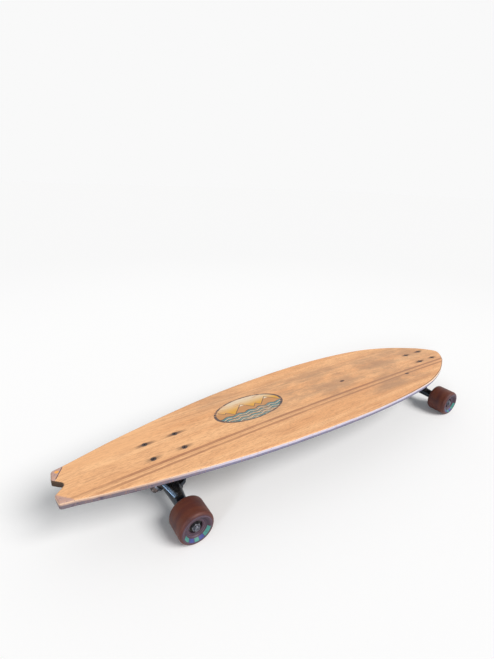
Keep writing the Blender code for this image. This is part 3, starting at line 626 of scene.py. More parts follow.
def badge(x, y):
    """A generic print: an oval with a ridge of peaks over rows of waves. Gives its colour and its cover."""
    across = x - BADGE_MIDDLE[0]
    up = y - BADGE_MIDDLE[1]
    out = length(across / BADGE_HALF[0], up / BADGE_HALF[1])
    ridges = [maths("PINGPONG", across + shift, span) * slope - drop for shift, span, slope, drop in RIDGES]
    below = maths("MAXIMUM", *ridges) - up
    swell = maths("SINE", across * 0.26) * 1.7 + up
    row = maths("FRACT", (swell + 200.0) / WAVE_ROW)
    colour = blended(rise(up, 2.0, 34.0), BADGE_OCHRE, BADGE_CREAM)
    colour = blended(rise(below, -0.4, 0.4), colour, BADGE_NAVY)
    rock = rise(below, 1.5, 2.2)
    colour = blended(rock, colour, BADGE_TAN)
    colour = blended(rock * rise(up, *SNOW_LINE), colour, BADGE_CREAM)
    water = blended(rise(row, 0.58, 0.64), BADGE_TEAL, BADGE_NAVY)
    water = blended(rise(row, 0.78, 0.84), water, BADGE_CREAM)
    colour = blended(rise(swell, WATER_LINE - 0.2, WATER_LINE - 1.0), colour, water)
    colour = blended(stripe(swell, WATER_LINE, 0.6, 0.4), colour, BADGE_NAVY)
    colour = blended(stripe(out, 0.955, 0.03, 0.008), colour, BADGE_NAVY)
    return colour, rise(out, 0.996, 0.986)


def bolt_smudges(x, y, streaks):
    """How black the wood is round each bolt, where a smudge is drawn out along the grain."""
    beside = abs(abs(x) - truck_reach / MM) - BOLT_SPACING_LONG / 2 / MM
    aside = abs(y) - BOLT_SPACING_WIDE / 2 / MM
    ragged = (streaks - 0.5) * SMUDGE_RAGGED + length(beside, aside * SMUDGE_SQUEEZE)
    return rise(ragged, *SMUDGE_EDGE) * (rise(x, -100.0, 100.0) * 0.14 + 0.78)


def with_worn_tips(wood, x, y, rubbed):
    """Bare grey wood past a crack on the tail's left, with a chip in it, and a rubbed corner on the right."""
    ragged = rubbed * 5.0 - 2.5
    crack = past(x, y, CRACK_MIDDLE, CRACK_ACROSS) + ragged * 0.3
    left_tip = rise(crack, -0.3, 0.3) * rise(y, 8.0, 12.0)
    corner = past(x, y, WORN_CORNER, WORN_ACROSS) + ragged
    right_tip = rise(corner, -1.0, 3.0) * rise(y, -12.0, -16.0)
    bare = maths("MAXIMUM", left_tip, right_tip)
    wood = blended(bare * rise(rubbed, 0.2, 0.5), wood, TIP_GREY)
    wood = blended(bare * rise(rubbed, 0.58, 0.70), wood, SCUFF_DARK)
    chip = from_point(x, y, CHIP_MIDDLE) + ragged
    wood = blended(rise(chip, 3.4, 2.4) * left_tip, wood, CHIP_ORANGE)
    line = stripe(crack, 0.0, 0.4, 0.4) * stripe(y, CRACK_MIDDLE[1], 10.0, 1.5) * rise(x, -500.0, -504.0)
    return blended(line, wood, SCUFF_DARK)


def sawn_side_with_painted_light(place, x, y, depth, wander):
    """The sawn edge: ply colours, with a painted highlight in the cream and painted shade in the grey and
    dark.
    """
    # Cream under the top veneer, then pale, grey, and dark along the bottom, with glue lines between the
    # plies.
    level = depth + wander
    to_tail = rise(x, *TO_TAIL)
    cream_and_highlight_depth = to_tail * 0.5 + (rise(x, *TO_NOSE) * 5.4 + CREAM_AND_HIGHLIGHT_DEPTH)
    cream = blended(to_tail, CREAM_PLY_AND_HIGHLIGHT, TAIL_CREAM_AND_HIGHLIGHT)
    side = blended(rise(level - cream_and_highlight_depth, -0.5, 0.9), cream, blended(to_tail, PALE_PLY, TAIL_PLY))
    side = blended(rise(to_tail * 1.2 + level, *GREY_AND_SHADE_LEVEL), side, blended(to_tail, GREY_PLY_AND_SHADE, TAIL_GREY_AND_SHADE))
    side = blended(rise(level, *DARK_AND_SHADE_LEVEL), side, DARK_PLY_AND_SHADE)
    glue = stripe(maths("FRACT", depth / (DECK_THICKNESS / PLY_COUNT / MM)), 0.5, 0.05, 0.08)
    side = blended(glue * 0.25, side, BROWN_EDGE)
    end_grain = noise(place, (420, 420, 90), 3.0, 0.6)
    side = blended(rise(end_grain, 0.52, 0.7) * 0.28, side, WOOD_PORE)
    knocks = to_tail * 0.10 + noise(place, (70, 70, 110), 5.0, 0.7)
    side = blended(rise(knocks, 0.66, 0.74) * rise(depth, 3.0, 8.0) * 0.8, side, SCUFF_DARK)
    # Painted shade: the notch's walls are dark brown, as the shade in the recess between the tips.
    notch = rise(x, *NOTCH_SIDE) * stripe(y, 0.0, NOTCH_MOUTH_HALF_WIDTH / MM, 3.0)
    return blended(notch * 0.94, side, NOTCH_SHADE_BROWN)


def deck_finish():
    made, shader, place = new_finish("stained_maple", 0.42)
    x, y, z = in_millimetres(place)
    x = x - board_shift / MM
    depth = deck_height(x * MM, y * MM, lesser_field) * (1 / MM) - z

    # Top veneer: broad streaks, then pores, mottling and specks along the grain
    bands = noise(place, (2.2, 46, 8), 5.0, 0.55, 0.4)
    pores = noise(place, (26, 520, 60), 5.0, 0.62, 0.3)
    flecks = noise(place, (60, 900, 60), 3.0, 0.6)
    mottle = noise(place, (26, 70, 20), 5.0, 0.65)
    specks = noise(place, (130, 640, 100), 4.0, 0.75)
    wood = blended(rise(bands, 0.32, 0.68), WOOD_LIGHT, WOOD_DEEP)
    wood = blended(rise(pores, 0.46, 0.72) * 0.5, wood, WOOD_PORE)
    wood = blended(rise(mottle, 0.46, 0.74) * 0.3, wood, WOOD_PORE)
    wood = blended(rise(specks, 0.46, 0.66) * 0.42, wood, WOOD_SPECK)

    # Darker lines of inlay, which fade towards the tail, the dirt of feet and hands, and a bleached tail
    streaks = noise(place, (9, 260, 20), 4.0, 0.6)
    uneven = rise(streaks, 0.15, 0.5) * (rise(x, *STRIPES_FADE) * 0.6 + 0.4)
    for centre, half, share in STRIPES:
        wood = blended(stripe(y, centre, half, STRIPE_SOFTNESS) * uneven * share, wood, WOOD_STRIPE)
    patches = rise(noise(place, (8, 19, 10), 6.0, 0.66), 0.34, 0.60)
    dirt = 0.0
    for lengthwise, crosswise, share in DIRTY_AREAS:
        dirt = maths("MAXIMUM", stripe(x, *lengthwise) * stripe(y, *crosswise) * share, dirt)
    wood = blended(dirt * patches * 0.66, wood, WOOD_DIRT)
    bleached = rise(x, *BLEACHED_ALONG) * rise(y, *BLEACHED_ACROSS)
    wood = blended(bleached * 0.38, wood, WOOD_LIGHT)

    # Smudges from the bolts, two small dark spots, and the print, worn away in places along the grain
    smudge = bolt_smudges(x, y, streaks)
    wood = blended(smudge, wood, BOLT_SMUDGE)
    for spot in SPOTS:
        wood = blended(rise(from_point(x, y, spot, SPOT_SQUEEZE), *SPOT_EDGE), wood, BOLT_SMUDGE)
    print_colour, print_cover = badge(x, y)
    kept = rise(pores + patches * 0.12, 0.72, 0.60)
    wood = blended(print_cover * kept * 0.9, wood, print_colour)
    rubbed = noise(place, 190.0, 5.0, 0.7)
    wood = with_worn_tips(wood, x, y, rubbed)

    # The sawn side, a brown line and nicks along the rim, and the stained underside
    wander = noise(place, (34, 34, 4), 5.0, 0.65) * 3.2 - 1.6
    side = sawn_side_with_painted_light(place, x, y, depth, wander)
    whole = blended(rise(wander * 0.25 + depth, *VENEER), wood, side)
    edging = stripe(depth, VENEER[0], 0.5, 0.35) * (rise(x, -200.0, 330.0) * 0.8 + 0.15)
    whole = blended(edging, whole, BROWN_EDGE)
    nicks = rise(noise(place, 430.0, 4.0, 0.7), 0.60, 0.68) * stripe(depth, 1.8, 1.0, 0.8)
    whole = blended(nicks * 0.7, whole, SCUFF_DARK)
    under = blended(rise(bands, 0.3, 0.7), UNDER_LIGHT, UNDER_DEEP)
    under = blended(rise(pores, 0.5, 0.72) * 0.5, under, SCUFF_DARK)
    under = blended(rise(rubbed, 0.62, 0.74) * 0.3, under, WOOD_DIRT)
    feed(shader.inputs["Base Color"], blended(rise(depth, *UNDERSIDE), whole, under))

    feed(shader.inputs["Roughness"], smudge * 0.2 + (patches * 0.14 + 0.44))
    shader.inputs["Specular IOR Level"].default_value = 0.12
    bumped(shader, pores * 0.6 + flecks * 0.4, 0.12 * MM, 0.6)
    return made


fitted("laminated_deck", finished("laminated_deck", pressed_deck(), deck_finish()), Matrix(),
       "board", "deck")


# Deck bolts and their lock nuts
# Four countersunk machine screws with a hexagon socket, blacked, hold each truck through deck and riser.
# Under the plate each has a plated lock nut with a nylon ring.

BOLT_THREAD_SHOWING = 2.5 * MM
BOLT_NUT_FLATS = 9.5 * MM
BOLT_NUT_HEIGHT = 5.8 * MM
BOLT_SOCKET_FLATS = 3.2 * MM
BOLT_SOCKET_DEPTH = 1.7 * MM
BOLT_PITCH = 0.8 * MM
BOLT_THREAD_LENGTH = 13.0 * MM
PLATE_THICKNESS = 6.5 * MM
NUT_COLLAR_SHARE = 0.34
NUT_COLLAR_INSET = 0.8 * MM
NUT_COLLAR_LIP = 0.5 * MM
NUT_CORNER_SLOPE = 0.6
NYLON_SINK = 0.4 * MM
HEAD_RIM_INSET = 0.25 * MM
HEAD_RIM_DEPTH = 0.2 * MM
THREAD_DEPTH = 0.55
THREAD_VALLEY = 0.5
THREAD_CREST = 0.92
THREAD_POINT = 0.8
BARE_STEEL = seen(196, 198, 202)
ROAD_DUST = seen(150, 138, 124)
STEEL_DUST = 0.35
NYLON_LIGHT = seen(96, 112, 150)
NYLON_DARK = seen(66, 78, 108)

plate_under = AXLE_DROP - PLATE_THICKNESS
flip = Matrix.Rotation(pi, 4, "X")


def thread(radius, start, end, pitch):
    """A screw thread's profile from start to end, then its point. THREAD values are shares of the pitch."""
    way = 1 if end > start else -1
    count = int(abs(end - start) / pitch)
    points = [(radius, start)]
    for turn in range(count):
        points.append((radius - THREAD_DEPTH * pitch, start + way * (turn + THREAD_VALLEY) * pitch))
        points.append((radius, start + way * (turn + THREAD_CREST) * pitch))
    return points + [(radius - THREAD_POINT * pitch, end), (0, end)]


def hexagon(flats, low, high):
    bm = bmesh.new()
    bmesh.ops.create_circle(bm, cap_ends=True, segments=6, radius=flats / 2 / cos(pi / 6))
    return moved(swept(bm, (0, 0, high - low)), Matrix.Translation((0, 0, low)))


def lock_nut(flats, bore, height):
    """A hexagon nut with turned-off corners, and a rolled collar that holds a nylon ring."""
    body = height * (1 - NUT_COLLAR_SHARE)
    corner = flats / 2 / cos(pi / 6)
    slope = (corner - flats / 2) * NUT_CORNER_SLOPE
    barrel = turned([(0, 0), (flats / 2, 0), (corner, slope), (corner, body - slope), (flats / 2, body),
                     (0, body)])
    collar_radius = flats / 2 - NUT_COLLAR_INSET
    wall = collar_radius - bore
    lip = NUT_COLLAR_LIP
    sunk = height - NYLON_SINK
    collar = turned([(0, body - lip), (collar_radius, body - lip), (collar_radius, height - lip),
                     (collar_radius - 0.3 * lip, height - 0.3 * lip), (collar_radius - lip, height),
                     (bore + 0.4 * wall, height), (bore + 0.3 * wall, sunk), (0, sunk)])
    bm = carved(hexagon(flats, 0, body), "INTERSECT", barrel)
    bm = carved(bm, "UNION", collar)
    hole = turned([(0, -height), (bore, -height), (bore, 2 * height), (0, 2 * height)])
    bm = carved(bm, "DIFFERENCE", hole)
    for face in bm.faces:
        middle = face.calc_center_median()
        if middle.z > body and middle.xy.length < bore + 0.32 * wall:
            face.material_index = 1
    return bm


def effect_group(name, outputs):
    """A shader group that takes a place and an amount. Gives the group, these two, and its outputs."""
    group = bpy.data.node_groups.new(name, "ShaderNodeTree")
    for label, kind, value in (("Place", "NodeSocketVector", (0, 0, 0)), ("Amount", "NodeSocketFloat", 0.5)):
        group.interface.new_socket(label, in_out="INPUT", socket_type=kind).default_value = value
    for label in outputs:
        group.interface.new_socket(label, in_out="OUTPUT", socket_type="NodeSocketFloat")
    given = group.nodes.new("NodeGroupInput").outputs
    return group, Field(given["Place"]), Field(given["Amount"]), group.nodes.new("NodeGroupOutput").inputs


def effect(group, place, amount):
    """Places a group in a material, and gives its outputs in their order."""
    node = place.socket.id_data.nodes.new("ShaderNodeGroup")
    node.node_tree = group
    feed(node.inputs["Place"], place)
    feed(node.inputs["Amount"], amount)
    return [Field(socket) for socket in node.outputs]


def worn_edges_group():
    """A mask that is 1 on bare corners: where the surface is sharply convex, broken up by noise."""
    group, place, amount, result = effect_group("worn_edges", ["Mask"])
    form = group.nodes.new("ShaderNodeNewGeometry")
    speckle = noise(place, 900.0, 4.0, 0.65)
    sharp = (speckle - 0.5) * 0.06 + Field(form.outputs["Pointiness"])
    feed(result["Mask"], rise(sharp, 0.535, 0.575) * amount)
    return group


def grime_group():
    """Road dirt: a mask of soft blotches, broken up by grit, and the grit itself as a tooth for the bump."""
    group, place, amount, result = effect_group("grime", ["Mask", "Tooth"])
    blotches = noise(place, 60.0, 6.0, 0.65)
    grit = noise(place, 1400.0, 3.0, 0.6)
    feed(result["Mask"], rise(blotches, 0.42, 0.70) * rise(grit, 0.28, 0.6) * amount)
    feed(result["Tooth"], grit)
    return group


worn_edges = worn_edges_group()
grime = grime_group()


def steel_finish(name, colour, tarnish, roughness, wear=0.5):
    """Plated or blacked steel: clouded, brighter on its corners, and dusty."""
    made, shader, place = new_finish(name, roughness, 1.0)
    clouds = noise(place, 220.0, 5.0, 0.6)
    bare = effect(worn_edges, place, wear)[0]
    dirt, tooth = effect(grime, place, STEEL_DUST)
    metal = blended(rise(clouds, 0.35, 0.7), colour, tarnish)
    metal = blended(bare, metal, BARE_STEEL)
    feed(shader.inputs["Base Color"], blended(dirt, metal, ROAD_DUST))
    feed(shader.inputs["Metallic"], 1.0 - dirt)
    feed(shader.inputs["Roughness"], dirt * 0.5 + (clouds * 0.25 + (roughness - 0.1)))
    bumped(shader, clouds + tooth, 0.03 * MM, 0.5)
    return made


def insert_finish():
    made, shader, place = new_finish("nylon_insert", 0.45)
    feed(shader.inputs["Base Color"], blended(noise(place, 400.0), NYLON_LIGHT, NYLON_DARK))
    return made


bright_steel = steel_finish("bright_steel_plate", seen(160, 168, 184), seen(106, 110, 122), 0.3)
black_steel = steel_finish("blacked_steel", seen(92, 70, 62), seen(52, 40, 36), 0.48, wear=0.12)
# A darker copy of the plated steel: partly a duller plate, and partly painted shade for the cup washers under
# the deck.
dull_and_shaded_steel = steel_finish("dulled_and_shaded_steel_plate", seen(92, 98, 114), seen(54, 57, 70), 0.34, wear=0.35)
nylon_insert = insert_finish()


def deck_bolt_mesh():
    top = deck_top - BOLT_HEAD_SINK
    end = plate_under - GAP - BOLT_NUT_HEIGHT - BOLT_THREAD_SHOWING
    head = [(0, top), (BOLT_HEAD_RADIUS - HEAD_RIM_INSET, top), (BOLT_HEAD_RADIUS, top - HEAD_RIM_DEPTH)]
    profile = head + bolt_profile(end)[1:3] + thread(BOLT_RADIUS, end + BOLT_THREAD_LENGTH, end, BOLT_PITCH)
    bolt = turned(profile, BOLT_FACETS)
    socket = hexagon(BOLT_SOCKET_FLATS, top - BOLT_SOCKET_DEPTH, top + BOLT_SOCKET_DEPTH)
    return finished("deck_bolt_fine", carved(bolt, "DIFFERENCE", socket), black_steel)


bolt_mesh = deck_bolt_mesh()
bolt_nut_mesh = finished("deck_nut_fine", lock_nut(BOLT_NUT_FLATS, BOLT_RADIUS + GAP, BOLT_NUT_HEIGHT),
                         bright_steel, nylon_insert)
for end in truck:
    for number, (x, y) in enumerate(bolt_places(), 1):
        through = truck[end] @ Matrix.Translation((x, y, 0))
        fitted(f"{end}_countersunk_bolt_{number}", bolt_mesh, through,
               "board", f"{end}_deck_bolt_{number}")
        under = truck[end] @ Matrix.Translation((x, y, plate_under - GAP)) @ flip
        fitted(f"{end}_bolt_lock_nut_{number}", bolt_nut_mesh, under,
               "board", f"{end}_deck_nut_{number}")


# Riser pads
# A moulded rubber pad between deck and plate, which spreads the load and dulls the rattle. It is cut a little
# larger than the plate and drilled for the bolts.

RISER_MARGIN = 1.5 * MM
PLATE_WIDTH = 58.0 * MM
PLATE_PAST_OUTER_BOLTS = 12.0 * MM
PLATE_PAST_INNER_BOLTS = 24.0 * MM
PLATE_CORNER_RADIUS = 9.0 * MM
PLATE_CORNER_STEPS = 10
RISER_ROUND = 0.5 * MM
DRILL_FACETS = 24
DRILL_PAST = 3 * MM
RUBBER_DARK = seen(34, 34, 36)
RUBBER_LIGHT = seen(54, 53, 54)

plate_outer = BOLT_PATTERN_OUTBOARD + BOLT_SPACING_LONG / 2 + PLATE_PAST_OUTER_BOLTS
plate_inner = BOLT_PATTERN_OUTBOARD - BOLT_SPACING_LONG / 2 - PLATE_PAST_INNER_BOLTS


def rounded_plate(margin, level, thickness):
    half = PLATE_WIDTH / 2 + margin
    low = plate_inner - margin
    high = plate_outer + margin
    radius = PLATE_CORNER_RADIUS + margin
    corners = ((low, -half, radius), (high, -half, radius), (high, half, radius), (low, half, radius))
    outline = filleted(corners, PLATE_CORNER_STEPS)
    return extruded([(point.x, point.y, level) for point in outline], (0, 0, thickness))


def bolt_drills():
    below = plate_under - DRILL_PAST
    profile = [(0, below), (BOLT_RADIUS + GAP, below), (BOLT_RADIUS + GAP, deck_top), (0, deck_top)]
    return [moved(turned(profile, DRILL_FACETS), Matrix.Translation((x, y, 0))) for x, y in bolt_places()]


def rubber_finish():
    made, shader, place = new_finish("riser_rubber_black", 0.8)
    dirt, tooth = effect(grime, place, 0.5)
    rubber = blended(noise(place, 90.0, 5.0, 0.6), RUBBER_DARK, RUBBER_LIGHT)
    feed(shader.inputs["Base Color"], blended(dirt, rubber, ROAD_DUST))
    bumped(shader, tooth, 0.05 * MM)
    return made


riser_bm = round_rims(rounded_plate(RISER_MARGIN, AXLE_DROP + GAP, RISER_THICKNESS), RISER_ROUND, 3)
riser_mesh = finished("riser_fine", carved(riser_bm, "DIFFERENCE", *bolt_drills()), rubber_finish())
for end in truck:
    fitted(f"{end}_rubber_riser", riser_mesh, truck[end], "board", f"{end}_riser")


# Baseplates
# Cast aluminium, painted gloss black: a bolted plate, a gusset, and a web that seats the bushings and ends in
# the pivot housing. The seat, the bores and the pocket for the kingpin's head are cut into the casting.

RUNNING_GAP = 0.5 * MM
WEB_PAST_PLATE_END = 10.0 * MM
WEB_TO_NUTS = 1.2 * MM
TOWER_FOOT_WIDTH = 13.0 * MM
TOWER_WALL = 4.5 * MM
SEAT_BOSS_MARGIN = 1.0 * MM
SEAT_BOSS_DEPTH = 9.0 * MM
HOUSING_WALL = 2.4 * MM
HOUSING_END_WALL = 2.2 * MM
GUSSET_THICKNESS = 4.0 * MM
GUSSET_DROP = 17.0 * MM
GUSSET_MARGIN = 4.0 * MM
CAST_ROUND = 1.6 * MM
RING_REACH = 21.0 * MM
RING_THICKNESS = 10.0 * MM
BUSHING_SEAT_DEPTH = 1.0 * MM
BUSHING_RADIUS = 12.4 * MM
BOARD_BUSHING_HEIGHT = 14.2 * MM
WASHER_THICKNESS = 1.6 * MM
WASHER_LIP_THICKNESS = 1.0 * MM
KINGPIN_RADIUS = 4.76 * MM
KINGPIN_GRIP = 19.0 * MM
KINGPIN_HEAD_FLATS = 14.3 * MM
KINGPIN_HEAD_HEIGHT = 6.0 * MM
HEAD_POCKET_CLEARANCE = 0.9 * MM
PIVOT_REACH = 15.0 * MM
STUB_BALL_RADIUS = 5.8 * MM
STUB_PAST_BALL = 4.4 * MM
CUP_WALL = 1.6 * MM
CUP_MOUTH_GAP = 1.2 * MM
BODY_TO_PIVOT = 10.0 * MM
CAST_GRAIN = 0.64 * MM
CAST_PASSES = 22
CAST_SHARP = 40
BORE_PAST = 2 * MM
CAST_ASKEW = Matrix.Rotation(0.6, 4, (1, 2, 3))
PLATE_ROUND = 1.4 * MM
PAINT_DARK = seen(9, 9, 12)
PAINT_LIGHT = seen(20, 21, 27)
PAINT_RUBBED = seen(110, 114, 122)
# Painted reflection: a blue tint on the paint's reflections, as of a blue sky.
PAINTED_SKY_REFLECTION_TINT = (0.54, 0.74, 1.0, 1.0)

ring_level = RING_THICKNESS / 2
ring_seat = ring_level - BUSHING_SEAT_DEPTH
bushing_from = ring_seat + GAP
board_bushing_to = bushing_from + BOARD_BUSHING_HEIGHT
seat_level = board_bushing_to + GAP + WASHER_THICKNESS + GAP
head_level = seat_level + KINGPIN_GRIP + GAP
washer_radius = BUSHING_RADIUS + GAP + WASHER_LIP_THICKNESS
cup_inside = STUB_BALL_RADIUS + GAP
cup_radius = cup_inside + CUP_WALL
cup_mouth = BODY_TO_PIVOT + CUP_MOUTH_GAP
stub_end = PIVOT_REACH + STUB_PAST_BALL
cup_end = stub_end + GAP + CUP_WALL
housing_end = cup_end + GAP + HOUSING_END_WALL
housing_radius = cup_radius + GAP + HOUSING_WALL

kingpin_in_truck = to_axle @ Matrix.Translation((-RING_REACH, 0, 0))
pivot_in_truck = to_axle @ Matrix.Rotation(pi / 2, 4, "Y")


def beside_steering_line(along, above):
    """A point of the truck's XZ plane, from its place along the steering line and its height above it."""
    point = to_axle @ Vector((along, 0, -above))
    return point.x, point.z


def rod(radius, low, high, facets=48):
    return turned([(0, low), (radius, low), (radius, high), (0, high)], facets)


def web_shape():
    seat_outer = -RING_REACH - washer_radius - SEAT_BOSS_MARGIN
    plate_middle = AXLE_DROP - PLATE_THICKNESS / 2
    foot_along = housing_end - CAST_ROUND
    seat_x, seat_z = beside_steering_line(seat_outer, seat_level)
    corners = [
        (plate_inner + WEB_PAST_PLATE_END, plate_middle, 0),
        (*beside_steering_line(foot_along, seat_level + TOWER_WALL - housing_radius), 3 * CAST_ROUND),
        (*beside_steering_line(foot_along, 0), 0),
        (*beside_steering_line(cup_mouth + CAST_ROUND, 0), 0),
        (*beside_steering_line(cup_mouth + CAST_ROUND, seat_level), 3 * CAST_ROUND),
        (seat_x, seat_z, CAST_ROUND),
        (seat_x, plate_middle, 0),
    ]
    foot = min(z for x, z, radius in corners)
    top_width = BOLT_SPACING_WIDE - 2 * (BOLT_NUT_FLATS / 2 / cos(pi / 6) + WEB_TO_NUTS)
    outline = [(point.x, -top_width / 2, point.y) for point in filleted(corners)]
    bm = extruded(outline, (0, top_width, 0))
    for vert in bm.verts:
        share = (vert.co.z - foot) / (plate_middle - foot)
        vert.co.y *= (TOWER_FOOT_WIDTH + (top_width - TOWER_FOOT_WIDTH) * share) / top_width
    return bm


def gusset_shape():
    wide = PLATE_WIDTH / 2 - GUSSET_MARGIN
    narrow = TOWER_FOOT_WIDTH / 2
    top = AXLE_DROP - PLATE_THICKNESS / 2
    x = BOLT_PATTERN_OUTBOARD - GUSSET_THICKNESS / 2
    half_outline = [(wide, top), (wide, plate_under), (narrow, plate_under - GUSSET_DROP)]
    outline = [(x, -y, z) for y, z in half_outline] + [(x, y, z) for y, z in half_outline[::-1]]
    return extruded(outline, (GUSSET_THICKNESS, 0, 0))


def head_pocket():
    half = KINGPIN_HEAD_FLATS / 2 / cos(pi / 6) + HEAD_POCKET_CLEARANCE
    floor_level = head_level - GAP
    head_top = head_level + KINGPIN_HEAD_HEIGHT + HEAD_POCKET_CLEARANCE
    outer = beside_steering_line(-RING_REACH - half, floor_level)
    inner = beside_steering_line(-RING_REACH + half, floor_level)
    behind = beside_steering_line(-RING_REACH + half, head_top)
    above = AXLE_DROP + PLATE_THICKNESS
    corners = [outer, inner, behind, (behind[0], above), (outer[0], above)]
    return extruded([(x, -half, z) for x, z in corners], (0, 2 * half, 0))


def cast(bm):
    """A casting's soft skin: even small facets, with every corner and inner angle eased.

    The shape is turned askew first, because edges in line with the facets come out ragged."""
    blank = loose(moved(bm, CAST_ASKEW))
    skin = blank.modifiers.new("skin", "REMESH")
    skin.mode = "VOXEL"
    skin.voxel_size = CAST_GRAIN
    ease = blank.modifiers.new("ease", "SMOOTH")
    ease.factor = 0.5
    ease.iterations = CAST_PASSES
    return moved(taken_back(blank), CAST_ASKEW.inverted())


def painted_casting_finish():
    made, shader, place = new_finish("gloss_black_paint", 0.22)
    sag = noise(place, 55.0, 3.0, 0.5)
    orange_peel = noise(place, 420.0, 2.0, 0.5)
    bare = effect(worn_edges, place, 0.5)[0]
    dirt = effect(grime, place, 0.16)[0]
    paint = blended(bare, blended(sag, PAINT_DARK, PAINT_LIGHT), PAINT_RUBBED)
    feed(shader.inputs["Base Color"], blended(dirt, paint, ROAD_DUST))
    feed(shader.inputs["Metallic"], bare)
    feed(shader.inputs["Roughness"], dirt * 1.8 + 0.12)
    shader.inputs["Specular IOR Level"].default_value = 0.6
    # A blue specular tint: a painted reflection colour, as of a blue sky, on the glossy paint.
    shader.inputs["Specular Tint"].default_value = PAINTED_SKY_REFLECTION_TINT
    bumped(shader, sag * 3.0 + orange_peel, 0.04 * MM, 0.3)
    return made


cast_paint = painted_casting_finish()


def baseplate_mesh():
    plate = round_rims(rounded_plate(0, plate_under, PLATE_THICKNESS), PLATE_ROUND, 3)
    seat_boss = moved(rod(washer_radius + SEAT_BOSS_MARGIN, -seat_level - SEAT_BOSS_DEPTH, -seat_level),
                      kingpin_in_truck)
    housing = round_rims(rod(housing_radius, cup_mouth, housing_end), CAST_ROUND, 4)
    raw = carved(plate, "UNION", web_shape(), gusset_shape(), seat_boss, moved(housing, pivot_in_truck))
    pin_bore = rod(KINGPIN_RADIUS + GAP, -head_level - KINGPIN_HEAD_HEIGHT / 2, -seat_level + 2 * GAP)
    cup_bore = rod(cup_radius + GAP, cup_mouth - BORE_PAST, cup_end + GAP)
    bm = carved(cast(raw), "DIFFERENCE", moved(cup_bore, pivot_in_truck), moved(pin_bore, kingpin_in_truck),
                head_pocket(), *bolt_drills())
    return finished("baseplate_fine", bm, cast_paint, sharp=CAST_SHARP)


base_mesh = baseplate_mesh()
for end in truck:
    fitted(f"{end}_cast_baseplate", base_mesh, truck[end], "board", f"{end}_baseplate")


# Pivot cups
# A black nylon thimble in each baseplate, in which the hanger's stub turns. It is moulded, with its mouth
# eased inside and out.

CUP_EASE = 0.4 * MM


def moulded_finish(name, light, dark, roughness):
    """A moulded plastic or urethane: nearly even, with a soft clouding and a fine tooth."""
    made, shader, place = new_finish(name, roughness)
    dirt, tooth = effect(grime, place, 0.3)
    clouded = blended(noise(place, 120.0, 4.0, 0.6), dark, light)
    feed(shader.inputs["Base Color"], blended(dirt, clouded, ROAD_DUST))
    bumped(shader, tooth, 0.04 * MM, 0.6)
    return made


cup_profile = [(cup_inside, cup_mouth + CUP_EASE), (cup_inside + CUP_EASE, cup_mouth),
               (cup_radius - CUP_EASE, cup_mouth), (cup_radius, cup_mouth + CUP_EASE), (cup_radius, cup_end),
               (0, cup_end), (0, cup_end - CUP_WALL), (cup_inside, cup_end - CUP_WALL),
               (cup_inside, cup_mouth + CUP_EASE)]
cup_mesh = finished("pivot_cup_fine", turned(cup_profile),
                    moulded_finish("black_nylon", seen(48, 48, 50), seen(32, 32, 34), 0.5))
for end in truck:
    fitted(f"{end}_nylon_cup", cup_mesh, truck[end] @ pivot_in_truck,
           "board", f"{end}_pivot_cup")


# Hangers
# Cast in one with the ring that the bushings grip and the pivot stub, then painted. The axle bar swells
# towards the middle, a web joins it to the ring, and the seats, the eye and the axle's bore are machined.

HANGER_WIDTH = 151.2 * MM
BOSS_RADIUS = 9.5 * MM
BOSS_LENGTH = 9.0 * MM
COLLAR_RADIUS = 6.4 * MM
COLLAR_LENGTH = 2.5 * MM
BODY_HALF_THICKNESS = 16.0 * MM
BODY_TO_RING = 13.5 * MM
HANGER_WEB_SPAN = 112.0 * MM
HANGER_WEB_TOP_SPAN = 32.0 * MM
HANGER_WEB_REACH = 31.0 * MM
HANGER_WEB_THICKNESS = 8.4 * MM
HANGER_WEB_CORNER = 5.0 * MM
RING_RADIUS = 17.5 * MM
RING_HOLE_RADIUS = 8.2 * MM
SPOT_FACE_DEPTH = 0.4 * MM
STUB_NECK_RADIUS = 5.0 * MM
STUB_ROOT = 3.0 * MM
AXLE_RADIUS = 4.0 * MM
ARM_STATIONS = 9
ARM_FACETS = 40
RING_FACETS = 64
BALL_FROM = pi / 3
BALL_STEPS = 8

hanger_half = HANGER_WIDTH / 2
axle_bore = AXLE_RADIUS + GAP
arm_end = hanger_half - COLLAR_LENGTH - BOSS_LENGTH
along_axle = Matrix.Translation((0, 0, RAKE)) @ Matrix.Rotation(-pi / 2, 4, "X")
at_ring = Matrix.Translation((-RING_REACH, 0, 0))


def arm_section(y):
    """One cross-section of the axle bar: round at its ends, deeper and thicker at the middle."""
    swell = max(0.0, 1 - abs(y) / arm_end)
    middle = RAKE * (1 - swell)
    thick = BOSS_RADIUS + (BODY_HALF_THICKNESS - BOSS_RADIUS) * swell
    to_pivot = BOSS_RADIUS + (BODY_TO_PIVOT - BOSS_RADIUS) * swell
    to_ring = BOSS_RADIUS + (BODY_TO_RING - BOSS_RADIUS) * swell
    section = []
    for spoke in range(ARM_FACETS):
        angle = 2 * pi * spoke / ARM_FACETS
        depth = to_pivot if cos(angle) > 0 else to_ring
        section.append((depth * cos(angle), y, middle + thick * sin(angle)))
    return section


def lofted(sections):
    """A solid bridged through closed cross-sections and capped at both ends."""
    bm = bmesh.new()
    rims = []
    for section in sections:
        loop = [bm.verts.new(point) for point in section]
        rims.append([bm.edges.new((loop[spoke - 1], loop[spoke])) for spoke in range(len(loop))])
    for first, second in zip(rims, rims[1:]):
        bmesh.ops.bridge_loops(bm, edges=first + second)
    for rim in (rims[0], rims[-1]):
        bmesh.ops.contextual_create(bm, geom=rim)
    bmesh.ops.recalc_face_normals(bm, faces=bm.faces)
    return bm


